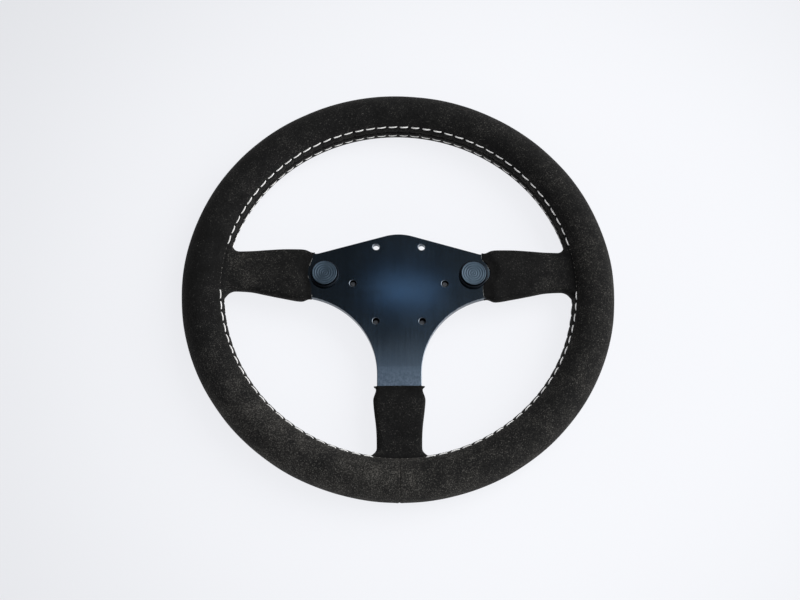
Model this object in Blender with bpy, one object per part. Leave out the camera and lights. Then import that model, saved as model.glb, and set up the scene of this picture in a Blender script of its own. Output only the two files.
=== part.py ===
"""Quick release steering wheel, lying face up on its rim.

Frame: +Z towards the driver, +Y to 12 o'clock, origin on the wheel's axis at the rim's rear.
A bent aluminium spoke plate is riveted to a flat hoop inside a foam and suede rim. Two push
buttons sit on the plate. A ball lock coupling with a sliding, sprung collar is screwed to its
back, and takes a splined spigot from the rear.
"""
import math

import bmesh
import bpy
from mathutils import Matrix, Vector

MM = 0.001
GAP = 0.3 * MM                      # between pieces that touch on the real wheel
CUT_LOW = -5 * MM                   # heights that clear everything, for cutters
CUT_HIGH = 45 * MM

# Rim, 350 mm outside diameter
RIM_R = 158 * MM                    # centre line
RIM_HALF_WIDE = 17 * MM
RIM_HALF_HIGH = 17.5 * MM
RIM_MID_Z = RIM_HALF_HIGH
COVER_THICK = 1.6 * MM
FOAM_GAP = 0.7 * MM                 # under the cover, wider than the sag of its facets
SEAM_SLOT = 0.8 * MM                # between the cover's two edges, on the inner circumference
RIM_STEPS = 48
SECTION_STEPS = 16

# Spoke plate
PLATE_THICK = 5 * MM
PLATE_FRONT_Z = 25.5 * MM
PLATE_BACK_Z = PLATE_FRONT_Z - PLATE_THICK
APEX_Y = 45 * MM                    # where the two top edges would meet
APEX_ROUND = 40 * MM
TOP_SLOPE = math.radians(15.9)
SHOULDER_X = 66 * MM                # from here out, a side arm's top edge is level
ARC_R = 65 * MM                     # the hollow between a side arm and the lower arm
ARC_X = 82.5 * MM
ARC_Y = -76 * MM
ARM_UNDER_SLOPE = math.radians(10)
LOWER_HALF = ARC_X - ARC_R
LOWER_TIP_HALF = 14.5 * MM
LOWER_TAPER_Y = (-88 * MM, -141 * MM)
ARM_END = 162 * MM
BEND_START = 71 * MM
BEND_END = 146 * MM
BEND_SLOPE = math.tan(math.radians(4))

# Six bolt holes on a 74 mm circle
BOLT_R = 37 * MM
BOLT_HOLE_R = 2.7 * MM
BOLT_ANGLES = (0, 60, 120, 180, 240, 300)

# Hoop and rivets
HOOP_IN = 150 * MM
HOOP_OUT = 166 * MM
HOOP_THICK = 4 * MM
RIVET_R = 2.2 * MM
RIVET_HEAD_R = 4.2 * MM
RIVET_HEAD_HIGH = 1.7 * MM
RIVET_SIDE_Y = (8 * MM, 22 * MM)    # across a side arm
RIVET_LOWER_X = 7 * MM              # either side of the lower arm's middle

# Suede sleeves over the arms
SLEEVE_START = 66.5 * MM
SLEEVE_END = RIM_R - RIM_HALF_WIDE - 2 * GAP
# Fraction of the sleeve's length, thickness of suede and padding beside the arm and over it
SIDE_PADDING = (
    (0.00, 1.2 * MM, 1.4 * MM),
    (0.08, 2.2 * MM, 1.8 * MM),
    (0.20, 3.7 * MM, 2.4 * MM),
    (0.50, 3.1 * MM, 2.4 * MM),
    (0.70, 2.2 * MM, 2.3 * MM),
    (0.84, 3.6 * MM, 2.8 * MM),
    (0.93, 6.5 * MM, 4.0 * MM),
    (1.00, 11.0 * MM, 6.0 * MM),
)
LOWER_PADDING = (
    (0.00, 1.2 * MM, 1.4 * MM),
    (0.08, 1.5 * MM, 1.6 * MM),
    (0.20, 2.9 * MM, 2.3 * MM),
    (0.50, 2.0 * MM, 2.2 * MM),
    (0.78, 2.2 * MM, 2.3 * MM),
    (0.90, 3.6 * MM, 3.0 * MM),
    (1.00, 8.0 * MM, 6.0 * MM),
)
SLEEVE_CORNER = 0.5                 # chamfer as a share of the padding beside the arm
LOWER_SLEEVE_START = 86 * MM
ARM_GUIDE_AT = (60 * MM, BEND_START, 90 * MM, 115 * MM, BEND_END, ARM_END)
ARM_GUIDE_CORNER = 0.2 * MM
SLEEVE_OVERLAP = 3 * MM             # into the rim, before the rim trims it
ROUND_END_GAP = 2 * MM              # plate left bare round a button's bezel

# Push buttons
BUTTON_X = 60 * MM
BUTTON_Y = 7.5 * MM
BUTTON_TRAVEL = 1.5 * MM
CAP_R = 10 * MM
CAP_TOP = PLATE_FRONT_Z + 5 * MM
CAP_THICK = 2 * MM
CAP_EDGE = (0.7 * MM, 0.5 * MM)     # chamfer of the cap, across and down
BEZEL_R = 11.5 * MM
BEZEL_HIGH = 2.7 * MM
BUSH_R = 8 * MM
BUSH_BORE_R = 7 * MM
BUSH_BOTTOM = 14 * MM
SHELF_THICK = 1.5 * MM
STEM_R = 3 * MM
PIN_R = 1.5 * MM
PIN_LONG = 1.7 * MM
BUTTON_SPRING_R = 5 * MM
BUTTON_WIRE_R = 0.4 * MM
BUTTON_SPRING_TURNS = 4
BUTTON_SPRING_STEPS = 8             # facets of one turn
BRIDGE_R = 5.5 * MM
BRIDGE_THICK = 1 * MM
SWITCH_BOTTOM = 4.5 * MM
SWITCH_WALL = 1.2 * MM
SWITCH_FLOOR = 1.5 * MM
TERMINAL_X = 4 * MM
TERMINAL_SIZE = (0.6 * MM, 2.8 * MM)
TERMINAL_BOTTOM = 1 * MM
NUT_FLAT_R = 9.5 * MM
NUT_HIGH = 3 * MM

# Ball lock coupling
HUB_TOP = PLATE_BACK_Z - GAP
FLANGE_THICK = 5 * MM
FLANGE_R = 27 * MM
FLANGE_Z = HUB_TOP - FLANGE_THICK
LUG_R = 7 * MM
LUG_ROOT = 12 * MM                  # the lug starts inside the flange
LUG_ROOT_HALF = 9.1 * MM
BARREL_R = 17.6 * MM
BARREL_END = 0.4 * MM
BORE_R = 14.8 * MM
BORE_TOP = 10.2 * MM
SPLINE_IN = 12.4 * MM
SPLINE_OUT = 13.6 * MM
SPLINE_TOP = 17 * MM
SPLINE_TEETH = 12
BALL_R = 2 * MM
BALL_Z = 7.3 * MM
BALL_REST_R = 15.6 * MM
BALL_COUNT = 6
RAMP = 0.4                          # ball travel outwards for each unit of collar travel
COLLAR_TRAVEL = 3 * MM
COLLAR_BOTTOM = 2.9 * MM
COLLAR_TOP = 11.8 * MM
COLLAR_GRIP_R = 29.5 * MM
COLLAR_BODY_R = 25 * MM
GRIP_HIGH = 4 * MM
GRIP_ROUND = 0.8 * MM
COLLAR_SPRING_R = 19.5 * MM
COLLAR_WIRE_R = 0.5 * MM
COLLAR_SPRING_TURNS = 2
COLLAR_SPRING_STEPS = 18
LAND_R = 18 * MM
POCKET_R = 21.5 * MM
POCKET_Z = 8.5 * MM
CLIP_GROOVE_R = 16.6 * MM
CLIP_OUT_R = 20.6 * MM
CLIP_Z = (1.5 * MM, 2.6 * MM)
CLIP_TURN = math.radians(338)
HUB_SCREW_R = 2.35 * MM
HUB_SCREW_HEAD_R = 4.25 * MM
HUB_SCREW_HEAD_HIGH = 5 * MM
SOCKET_R = 2 * MM
SOCKET_DEEP = 2.5 * MM
SCREW_TIP = 0.5 * MM                # chamfer at a screw's end
# Angle of each screw and the height of its tip: the holes at 60 and 120 degrees stay free
HUB_SCREW_TIPS = {0: 23.6 * MM, 180: 23.6 * MM, 240: 21.6 * MM, 300: 21.6 * MM}
WASHER_R = 5 * MM
WASHER_THICK = 1 * MM

WELD = 0.003 * MM                   # closes a turned shape where it meets its own start
ROUND_STEPS = 20                    # facets of small turned pieces
SMALL_STEPS = 16                    # facets of bolt holes, washers and bridges
RIVET_STEPS = 12
HUB_STEPS = 36


# ---------------------------------------------------------------- tools

def clear_scene():
    for obj in list(bpy.data.objects):
        bpy.data.objects.remove(obj, do_unlink=True)


def material(name, colour, roughness, metallic):
    """A Principled material of one plain colour."""
    mat = bpy.data.materials.new(name)
    mat.use_nodes = True
    bsdf = mat.node_tree.nodes["Principled BSDF"]
    bsdf.inputs["Base Color"].default_value = (*colour, 1)
    bsdf.inputs["Roughness"].default_value = roughness
    bsdf.inputs["Metallic"].default_value = metallic
    return mat


def link(obj, mat=None, parent=None):
    bpy.context.collection.objects.link(obj)
    if mat:
        obj.data.materials.clear()
        obj.data.materials.append(mat)
    if parent:
        obj.parent = parent
    return obj


def axis_empty(name, place):
    """An empty that stands on a joint's axis and carries the pieces that move with it."""
    empty = bpy.data.objects.new(name, None)
    empty.empty_display_size = 10 * MM
    empty.location = place
    return link(empty)


def mesh_of(name, bm):
    """Close a bmesh into a mesh with outward faces, smooth except at its edges."""
    bmesh.ops.remove_doubles(bm, verts=bm.verts, dist=WELD)
    bmesh.ops.recalc_face_normals(bm, faces=bm.faces)
    mesh = bpy.data.meshes.new(name)
    bm.to_mesh(mesh)
    bm.free()
    mesh.shade_smooth()
    mesh.set_sharp_from_angle(angle=math.radians(35))
    return mesh


def solid(name, bm, mat, parent=None, place=(0, 0, 0)):
    obj = bpy.data.objects.new(name, mesh_of(name, bm))
    obj.location = place
    return link(obj, mat, parent)


def guide(name, bm, parent=None):
    """A shape that only cuts, joins or trims another one."""
    obj = bpy.data.objects.new(name, mesh_of(name, bm))
    obj.hide_render = True
    obj.display_type = 'WIRE'
    return link(obj, parent=parent)


def boolean(obj, tool, operation='DIFFERENCE'):
    mod = obj.modifiers.new(tool.name, 'BOOLEAN')
    mod.operation = operation
    mod.solver = 'EXACT'
    mod.object = tool


def turned(profile, steps, closed, turn=2 * math.pi):
    """Spin a profile of (radius, height) points about Z."""
    bm = bmesh.new()
    verts = [bm.verts.new((radius, 0, height)) for radius, height in profile]
    pairs = list(zip(verts, verts[1:]))
    if closed:
        pairs.append((verts[-1], verts[0]))
    geom = verts + [bm.edges.new(pair) for pair in pairs]
    if turn < 2 * math.pi:
        geom.append(bm.faces.new(verts))
    bmesh.ops.spin(bm, geom=geom, cent=(0, 0, 0), axis=(0, 0, 1), angle=turn, steps=steps)
    return bm


def ring(inner, outer, low, high, steps=ROUND_STEPS):
    return turned([(inner, low), (outer, low), (outer, high), (inner, high)], steps, True)


def rod(radius, low, high, steps=ROUND_STEPS):
    return turned([(0, low), (radius, low), (radius, high), (0, high)], steps, False)


def prism(outline, low, high):
    """Extrude an outline of (x, y) points from one height to another."""
    bm = bmesh.new()
    face = bm.faces.new([bm.verts.new((x, y, low)) for x, y in outline])
    extruded = bmesh.ops.extrude_face_region(bm, geom=[face])
    top = [item for item in extruded["geom"] if isinstance(item, bmesh.types.BMVert)]
    bmesh.ops.translate(bm, verts=top, vec=(0, 0, high - low))
    return bm


def move(bm, place=(0, 0, 0), turn=0.0):
    """Turn a bmesh about Z, then move it."""
    matrix = Matrix.Translation(place) @ Matrix.Rotation(turn, 4, 'Z')
    bmesh.ops.transform(bm, matrix=matrix, verts=bm.verts)
    return bm


def arc(centre, radius, start, end, steps):
    """Points along an arc, angles in radians."""
    angles = [start + (end - start) * i / steps for i in range(steps + 1)]
    return [(centre[0] + radius * math.cos(a), centre[1] + radius * math.sin(a)) for a in angles]


def coil(name, radius, wire_r, low, high, turns, per_turn, mat, parent=None, place=(0, 0, 0)):
    """A wire coil as a curve with a round bevel and closed ends."""
    curve = bpy.data.curves.new(name, 'CURVE')
    curve.dimensions = '3D'
    curve.bevel_depth = wire_r
    curve.bevel_resolution = 1
    curve.use_fill_caps = True
    count = int(turns * per_turn) + 1
    spline = curve.splines.new('POLY')
    spline.points.add(count - 1)
    first, last = low + wire_r, high - wire_r
    for i, point in enumerate(spline.points):
        angle = 2 * math.pi * i / per_turn
        height = first + (last - first) * i / (count - 1)
        point.co = (radius * math.cos(angle), radius * math.sin(angle), height, 1)
    obj = bpy.data.objects.new(name, curve)
    obj.location = place
    return link(obj, mat, parent)


def polar(radius, degrees, height=0.0):
    angle = math.radians(degrees)
    return Vector((radius * math.cos(angle), radius * math.sin(angle), height))


# ---------------------------------------------------------------- materials

def make_materials():
    return {
        "plate": material("black_anodised_plate", (0.012, 0.018, 0.028), 0.38, 0.8),
        "alloy": material("bare_aluminium", (0.62, 0.63, 0.65), 0.35, 1.0),
        "hub": material("black_anodised_hub", (0.015, 0.016, 0.018), 0.4, 0.8),
        "collar": material("blue_grey_anodised_collar", (0.09, 0.11, 0.14), 0.35, 0.9),
        "steel": material("zinc_plated_steel", (0.48, 0.48, 0.46), 0.35, 1.0),
        "black_steel": material("black_oxide_steel", (0.02, 0.02, 0.022), 0.45, 0.9),
        "foam": material("grey_moulded_foam", (0.09, 0.09, 0.09), 0.9, 0.0),
        "suede": material("black_suede", (0.028, 0.026, 0.025), 0.95, 0.0),
        "rubber": material("grey_blue_rubber", (0.07, 0.10, 0.13), 0.6, 0.0),
        "plastic": material("black_plastic", (0.012, 0.012, 0.014), 0.45, 0.0),
        "brass": material("tinned_brass", (0.60, 0.52, 0.36), 0.3, 1.0),
    }


# ---------------------------------------------------------------- spoke plate

def arm_drop(distance):
    """How far the bent arms lie behind the plate at a distance from the wheel's axis."""
    return BEND_SLOPE * max(0.0, min(distance, BEND_END) - BEND_START)


def arm_mid_z(distance):
    return PLATE_FRONT_Z - PLATE_THICK / 2 - arm_drop(distance)


def side_arm_edges(x):
    """Lower and upper edge of a side arm at a distance x from the middle."""
    under_start = ARC_X - ARC_R * math.sin(ARM_UNDER_SLOPE)
    if x < under_start:
        low = ARC_Y + math.sqrt(ARC_R ** 2 - (ARC_X - x) ** 2)
    else:
        start_y = ARC_Y + ARC_R * math.cos(ARM_UNDER_SLOPE)
        low = start_y + (x - under_start) * math.tan(ARM_UNDER_SLOPE)
    high = APEX_Y - min(x, SHOULDER_X) * math.tan(TOP_SLOPE)
    return low, high


def lower_arm_half(distance):
    """Half-width of the lower arm at a distance below the middle."""
    start, end = (-y for y in LOWER_TAPER_Y)
    along = max(0.0, min(1.0, (distance - start) / (end - start)))
    return LOWER_HALF + (LOWER_TIP_HALF - LOWER_HALF) * along


def plate_outline():
    """The right half from 12 o'clock down to the lower arm's end, then its mirror image."""
    apex_centre = (0, APEX_Y - APEX_ROUND / math.cos(TOP_SLOPE))
    right = arc(apex_centre, APEX_ROUND, math.pi / 2, math.pi / 2 - TOP_SLOPE, 3)
    right.append((SHOULDER_X, side_arm_edges(SHOULDER_X)[1]))
    end_low, end_high = side_arm_edges(ARM_END)
    right += [(ARM_END, end_high), (ARM_END, end_low)]
    right += arc((ARC_X, ARC_Y), ARC_R, math.pi / 2 + ARM_UNDER_SLOPE, math.pi, 14)
    for y in (*LOWER_TAPER_Y, -ARM_END):
        right.append((lower_arm_half(-y), y))
    left = [(-x, y) for x, y in reversed(right[1:])]
    return right + left


def bend_arms(bm):
    """Fold the three arms back along straight lines, so they meet the rim at its middle."""
    for distance in (BEND_START, BEND_END):
        for normal in ((1, 0, 0), (-1, 0, 0), (0, -1, 0)):
            geom = list(bm.verts) + list(bm.edges) + list(bm.faces)
            point = Vector(normal) * distance
            bmesh.ops.bisect_plane(bm, geom=geom, dist=1e-7, plane_co=point, plane_no=normal)
    for vert in bm.verts:
        vert.co.z -= arm_drop(max(abs(vert.co.x), -vert.co.y))


def rivet_places():
    """Name and (x, y) of the rivets that hold the three arms to the hoop."""
    low_y, high_y = RIVET_SIDE_Y
    places = {}
    for side, sign in (("left", -1), ("right", 1)):
        for level, y in (("lower", low_y), ("upper", high_y)):
            places[f"{side}_{level}"] = (sign * math.sqrt(RIM_R ** 2 - y ** 2), y)
        bottom_y = -math.sqrt(RIM_R ** 2 - RIVET_LOWER_X ** 2)
        places[f"bottom_{side}"] = (sign * RIVET_LOWER_X, bottom_y)
    return places


def make_plate(mats):
    bm = prism(plate_outline(), PLATE_BACK_Z, PLATE_FRONT_Z)
    bend_arms(bm)
    plate = solid("spoke_plate", bm, mats["plate"])
    for angle in BOLT_ANGLES:
        hole = move(rod(BOLT_HOLE_R, CUT_LOW, CUT_HIGH, SMALL_STEPS), polar(BOLT_R, angle))
        boolean(plate, guide(f"bolt_hole_{angle}", hole))
    for side, sign in (("left", -1), ("right", 1)):
        hole = move(rod(BUSH_R + GAP, CUT_LOW, CUT_HIGH), (sign * BUTTON_X, BUTTON_Y, 0))
        boolean(plate, guide(f"button_hole_{side}", hole))
    for name, (x, y) in rivet_places().items():
        hole = move(rod(RIVET_R + GAP, CUT_LOW, CUT_HIGH, RIVET_STEPS), (x, y, 0))
        boolean(plate, guide(f"rivet_hole_{name}", hole))
    return plate


# ---------------------------------------------------------------- rim

def oval(half_wide, half_high, slot_low, slot_high):
    """The rim's section from one edge of a slot on its inner side round to the other edge."""
    pitch = 2 * math.pi / SECTION_STEPS
    start = -math.pi + math.asin((RIM_MID_Z - slot_low) / half_high)
    end = math.pi - math.asin((slot_high - RIM_MID_Z) / half_high)
    between = [i * pitch for i in range(-SECTION_STEPS // 2 + 1, SECTION_STEPS // 2)]
    points = []
    for a in [start] + between + [end]:
        points.append((RIM_R + half_wide * math.cos(a), RIM_MID_Z + half_high * math.sin(a)))
    return points


def make_rim_cover(mats, arm_guides):
    """A suede skin around the foam, open along a seam on the inner circumference."""
    wide, high = RIM_HALF_WIDE - COVER_THICK, RIM_HALF_HIGH - COVER_THICK
    edges = (RIM_MID_Z - SEAM_SLOT / 2, RIM_MID_Z + SEAM_SLOT / 2)
    profile = oval(RIM_HALF_WIDE, RIM_HALF_HIGH, *edges) + oval(wide, high, *edges)[::-1]
    cover = solid("rim_cover", turned(profile, RIM_STEPS, True), mats["suede"])
    for arm in arm_guides:
        boolean(cover, arm)
    return cover


def make_rim_core(mats):
    """Moulded foam with a channel for the hoop and a mouth where the arms come in."""
    half_wide = RIM_HALF_WIDE - COVER_THICK - FOAM_GAP
    half_high = RIM_HALF_HIGH - COVER_THICK - FOAM_GAP
    arm_low = arm_mid_z(BEND_END) - PLATE_THICK / 2
    arm_high = arm_mid_z(RIM_R - RIM_HALF_WIDE) + PLATE_THICK / 2
    mouth = (arm_low - 2 * GAP, arm_high + 2 * GAP)
    head = RIVET_HEAD_HIGH + 2 * GAP
    channel = (arm_low - GAP - HOOP_THICK - head, arm_mid_z(BEND_END) + PLATE_THICK / 2 + head)
    profile = oval(half_wide, half_high, *mouth)
    inner, outer = HOOP_IN - 2 * GAP, HOOP_OUT + GAP
    profile += [(inner, mouth[1]), (inner, channel[1]), (outer, channel[1])]
    profile += [(outer, channel[0]), (inner, channel[0]), (inner, mouth[0])]
    return solid("rim_core", turned(profile, RIM_STEPS, True), mats["foam"])


def make_hoop(mats):
    top = arm_mid_z(BEND_END) - PLATE_THICK / 2 - GAP
    bottom = top - HOOP_THICK
    hoop = solid("rim_hoop", ring(HOOP_IN, HOOP_OUT, bottom, top, RIM_STEPS), mats["alloy"])
    plate_top = arm_mid_z(BEND_END) + PLATE_THICK / 2
    low_head, high_head = bottom - GAP, plate_top + GAP
    edge = RIVET_HEAD_HIGH * 0.4
    profile = [(0, low_head - RIVET_HEAD_HIGH), (RIVET_HEAD_R * 0.6, low_head - RIVET_HEAD_HIGH)]
    profile += [(RIVET_HEAD_R, low_head - edge), (RIVET_HEAD_R, low_head), (RIVET_R, low_head)]
    profile += [(RIVET_R, high_head), (RIVET_HEAD_R, high_head), (RIVET_HEAD_R, high_head + edge)]
    profile += [(RIVET_HEAD_R * 0.6, high_head + RIVET_HEAD_HIGH), (0, high_head + RIVET_HEAD_HIGH)]
    rivet = mesh_of("hoop_rivet", turned(profile, 10, False))
    for name, (x, y) in rivet_places().items():
        hole = move(rod(RIVET_R + GAP, CUT_LOW, CUT_HIGH, RIVET_STEPS), (x, y, 0))
        boolean(hoop, guide(f"hoop_hole_{name}", hole))
        obj = bpy.data.objects.new(f"hoop_rivet_{name}", rivet)
        obj.location = (x, y, 0)
        link(obj, mats["alloy"])


# ---------------------------------------------------------------- spoke sleeves

def loft(sections):
    """Bridge closed loops of points in order and cap both ends."""
    bm = bmesh.new()
    loops = []
    for section in sections:
        verts = [bm.verts.new(point) for point in section]
        loops.append([bm.edges.new(pair) for pair in zip(verts, verts[1:] + verts[:1])])
    for near, far in zip(loops, loops[1:]):
        bmesh.ops.bridge_loops(bm, edges=near + far)
    bmesh.ops.holes_fill(bm, edges=loops[0] + loops[-1])
    return bm


def arm_section(side, distance, beside, over, corner):
    """Corners of a section across an arm, larger than the arm by the two margins."""
    if side == "bottom":
        half = lower_arm_half(distance)
        low, high = -half - beside, half + beside
    else:
        low, high = side_arm_edges(distance)
        low, high = low - beside, high + beside
    half_thick = PLATE_THICK / 2 + over
    flat = []
    for across, up, turn_first in ((high, 1, True), (low, 1, False), (low, -1, True), (high, -1, False)):
        inward = -1 if across == high else 1
        ends = [(across, up * (half_thick - corner)), (across + inward * corner, up * half_thick)]
        flat += ends if turn_first else ends[::-1]
    mid = arm_mid_z(distance)
    if side == "bottom":
        return [(across, -distance, mid + up) for across, up in flat]
    sign = -1 if side == "left" else 1
    return [(sign * distance, across, mid + up) for across, up in flat]


def arm_guide(side):
    """The arm itself with a gap all round: it cuts the sleeve and the rim's cover."""
    sections = [arm_section(side, d, GAP, GAP, ARM_GUIDE_CORNER) for d in ARM_GUIDE_AT]
    return guide(f"arm_guide_{side}", loft(sections))


def make_sleeve(side, mats, arm):
    start = LOWER_SLEEVE_START if side == "bottom" else SLEEVE_START
    reach = SLEEVE_END - start + SLEEVE_OVERLAP
    padding = LOWER_PADDING if side == "bottom" else SIDE_PADDING
    sections = []
    for fraction, beside, over in padding:
        corner = SLEEVE_CORNER * min(beside, 2 * over)
        sections.append(arm_section(side, start + reach * fraction, beside, over, corner))
    sleeve = solid(f"spoke_sleeve_{side}", loft(sections), mats["suede"])
    boolean(sleeve, arm)
    trim = ring(SLEEVE_END, RIM_R, CUT_LOW, CUT_HIGH, RIM_STEPS)
    boolean(sleeve, guide(f"rim_trim_{side}", trim))
    if side != "bottom":
        sign = -1 if side == "left" else 1
        round_end = rod(BEZEL_R + ROUND_END_GAP, 0, CUT_HIGH)
        boolean(sleeve, guide(f"round_end_{side}", move(round_end, (sign * BUTTON_X, BUTTON_Y, 0))))


# ---------------------------------------------------------------- push buttons

def make_button(side, mats):
    """A cap on a stem, sprung up inside a threaded bush, over a switch with two terminals."""
    sign = -1 if side == "left" else 1
    axis = axis_empty(f"button_axis_{side}", (sign * BUTTON_X, BUTTON_Y, 0))
    under_cap = CAP_TOP - CAP_THICK
    floor_top = under_cap - BUTTON_TRAVEL - GAP
    bezel_bottom = PLATE_FRONT_Z + GAP
    bezel_top = PLATE_FRONT_Z + BEZEL_HIGH
    shelf_top = BUSH_BOTTOM + SHELF_THICK
    stem_end = BUSH_BOTTOM - GAP / 3
    bridge_top = stem_end - GAP
    bridge_bottom = bridge_top - BRIDGE_THICK

    profile = [(0, stem_end - PIN_LONG), (PIN_R, stem_end - PIN_LONG), (PIN_R, stem_end)]
    profile += [(STEM_R, stem_end), (STEM_R, under_cap), (CAP_R, under_cap)]
    profile += [(CAP_R, CAP_TOP - CAP_EDGE[1]), (CAP_R - CAP_EDGE[0], CAP_TOP), (0, CAP_TOP)]
    solid(f"button_cap_{side}", turned(profile, ROUND_STEPS, False), mats["rubber"], axis)

    profile = [(STEM_R + GAP, BUSH_BOTTOM), (BUSH_R, BUSH_BOTTOM), (BUSH_R, bezel_bottom)]
    profile += [(BEZEL_R, bezel_bottom), (BEZEL_R, bezel_top), (CAP_R + GAP, bezel_top)]
    profile += [(CAP_R + GAP, floor_top), (BUSH_BORE_R, floor_top), (BUSH_BORE_R, shelf_top)]
    profile += [(STEM_R + GAP, shelf_top)]
    solid(f"button_bush_{side}", turned(profile, ROUND_STEPS, True), mats["plastic"], axis)

    coil(f"button_spring_{side}", BUTTON_SPRING_R, BUTTON_WIRE_R, shelf_top + GAP,
         under_cap - GAP, BUTTON_SPRING_TURNS, BUTTON_SPRING_STEPS, mats["steel"], axis)
    bridge = ring(PIN_R + GAP, BRIDGE_R, bridge_bottom, bridge_top, SMALL_STEPS)
    solid(f"contact_bridge_{side}", bridge, mats["brass"], axis)

    nut = prism(arc((0, 0), NUT_FLAT_R / math.cos(math.pi / 6), 0, 5 * math.pi / 3, 5),
                PLATE_BACK_Z - GAP - NUT_HIGH, PLATE_BACK_Z - GAP)
    nut = solid(f"panel_nut_{side}", nut, mats["steel"], axis)
    boolean(nut, guide(f"nut_bore_{side}", rod(BUSH_R + GAP, CUT_LOW, CUT_HIGH), axis))

    inner = BUSH_R - SWITCH_WALL
    floor = SWITCH_BOTTOM + SWITCH_FLOOR
    mouth = BUSH_BOTTOM - GAP
    profile = [(0, SWITCH_BOTTOM), (BUSH_R, SWITCH_BOTTOM), (BUSH_R, mouth), (inner, mouth)]
    profile += [(inner, floor), (0, floor)]
    switch = solid(f"switch_body_{side}", turned(profile, ROUND_STEPS, False), mats["plastic"], axis)
    thick, wide = TERMINAL_SIZE
    top = bridge_bottom - BUTTON_TRAVEL - GAP
    for name, x in (("inner", -sign * TERMINAL_X), ("outer", sign * TERMINAL_X)):
        blade = [(x - thick / 2, -wide / 2), (x + thick / 2, -wide / 2),
                 (x + thick / 2, wide / 2), (x - thick / 2, wide / 2)]
        slot = [(px + math.copysign(GAP, px - x), py + math.copysign(GAP, py)) for px, py in blade]
        solid(f"terminal_{side}_{name}", prism(blade, TERMINAL_BOTTOM, top), mats["brass"], axis)
        slot = prism(slot, SWITCH_BOTTOM - 1 * MM, floor + 1 * MM)
        boolean(switch, guide(f"terminal_slot_{side}_{name}", slot, axis))


# ---------------------------------------------------------------- coupling

def lug_outline():
    """A lug pointing along +X, rounded about its bolt hole."""
    end = arc((BOLT_R, 0), LUG_R, -math.pi / 2, math.pi / 2, 8)
    return [(LUG_ROOT, -LUG_ROOT_HALF)] + end + [(LUG_ROOT, LUG_ROOT_HALF)]


def spline_outline():
    """Grooves of the splined socket, one pitch after another."""
    points = []
    pitch = 2 * math.pi / SPLINE_TEETH
    inside = SPLINE_IN - 0.5 * MM
    for tooth in range(SPLINE_TEETH):
        for radius, share in ((inside, -0.3), (SPLINE_OUT, -0.2), (SPLINE_OUT, 0.2), (inside, 0.3)):
            angle = (tooth + share) * pitch
            points.append((radius * math.cos(angle), radius * math.sin(angle)))
    return points


def make_hub(mats):
    groove = (CLIP_Z[0] - GAP, CLIP_Z[1] + GAP)
    profile = [(0, HUB_TOP), (FLANGE_R, HUB_TOP), (FLANGE_R, FLANGE_Z), (BARREL_R, FLANGE_Z)]
    profile += [(BARREL_R, groove[1]), (CLIP_GROOVE_R, groove[1]), (CLIP_GROOVE_R, groove[0])]
    profile += [(BARREL_R, groove[0]), (BARREL_R, BARREL_END), (BORE_R, BARREL_END)]
    profile += [(BORE_R, BORE_TOP), (SPLINE_IN, BORE_TOP), (SPLINE_IN, SPLINE_TOP), (0, SPLINE_TOP)]
    hub = solid("hub_body", turned(profile, HUB_STEPS, False), mats["hub"])
    for angle in HUB_SCREW_TIPS:
        lug = move(prism(lug_outline(), FLANGE_Z, HUB_TOP), turn=math.radians(angle))
        boolean(hub, guide(f"lug_{angle}", lug), 'UNION')
    for angle in HUB_SCREW_TIPS:
        hole = move(rod(HUB_SCREW_R + GAP, CUT_LOW, CUT_HIGH, SMALL_STEPS), polar(BOLT_R, angle))
        boolean(hub, guide(f"lug_hole_{angle}", hole))
    sockets = prism(spline_outline(), BORE_TOP - 1 * MM, SPLINE_TOP - GAP)
    boolean(hub, guide("spline_grooves", sockets))
    for i in range(BALL_COUNT):
        hole = rod(BALL_R + GAP, BORE_R - BALL_R, BARREL_R + BALL_R, RIVET_STEPS)
        upright = Matrix.Rotation(math.pi / 2, 4, 'Y')
        bmesh.ops.transform(hole, matrix=upright, verts=hole.verts)
        hole = move(hole, (0, 0, BALL_Z), 2 * math.pi * i / BALL_COUNT)
        boolean(hub, guide(f"ball_hole_{i + 1}", hole))
    return hub


def make_balls(mats):
    """Hardened balls, each with its origin at its centre, on the radius it slides along."""
    bm = bmesh.new()
    bmesh.ops.create_uvsphere(bm, u_segments=10, v_segments=6, radius=BALL_R)
    ball = mesh_of("locking_ball", bm)
    for i in range(BALL_COUNT):
        obj = bpy.data.objects.new(f"locking_ball_{i + 1}", ball)
        obj.location = polar(BALL_REST_R, 360 * i / BALL_COUNT, BALL_Z)
        link(obj, mats["steel"])


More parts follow.
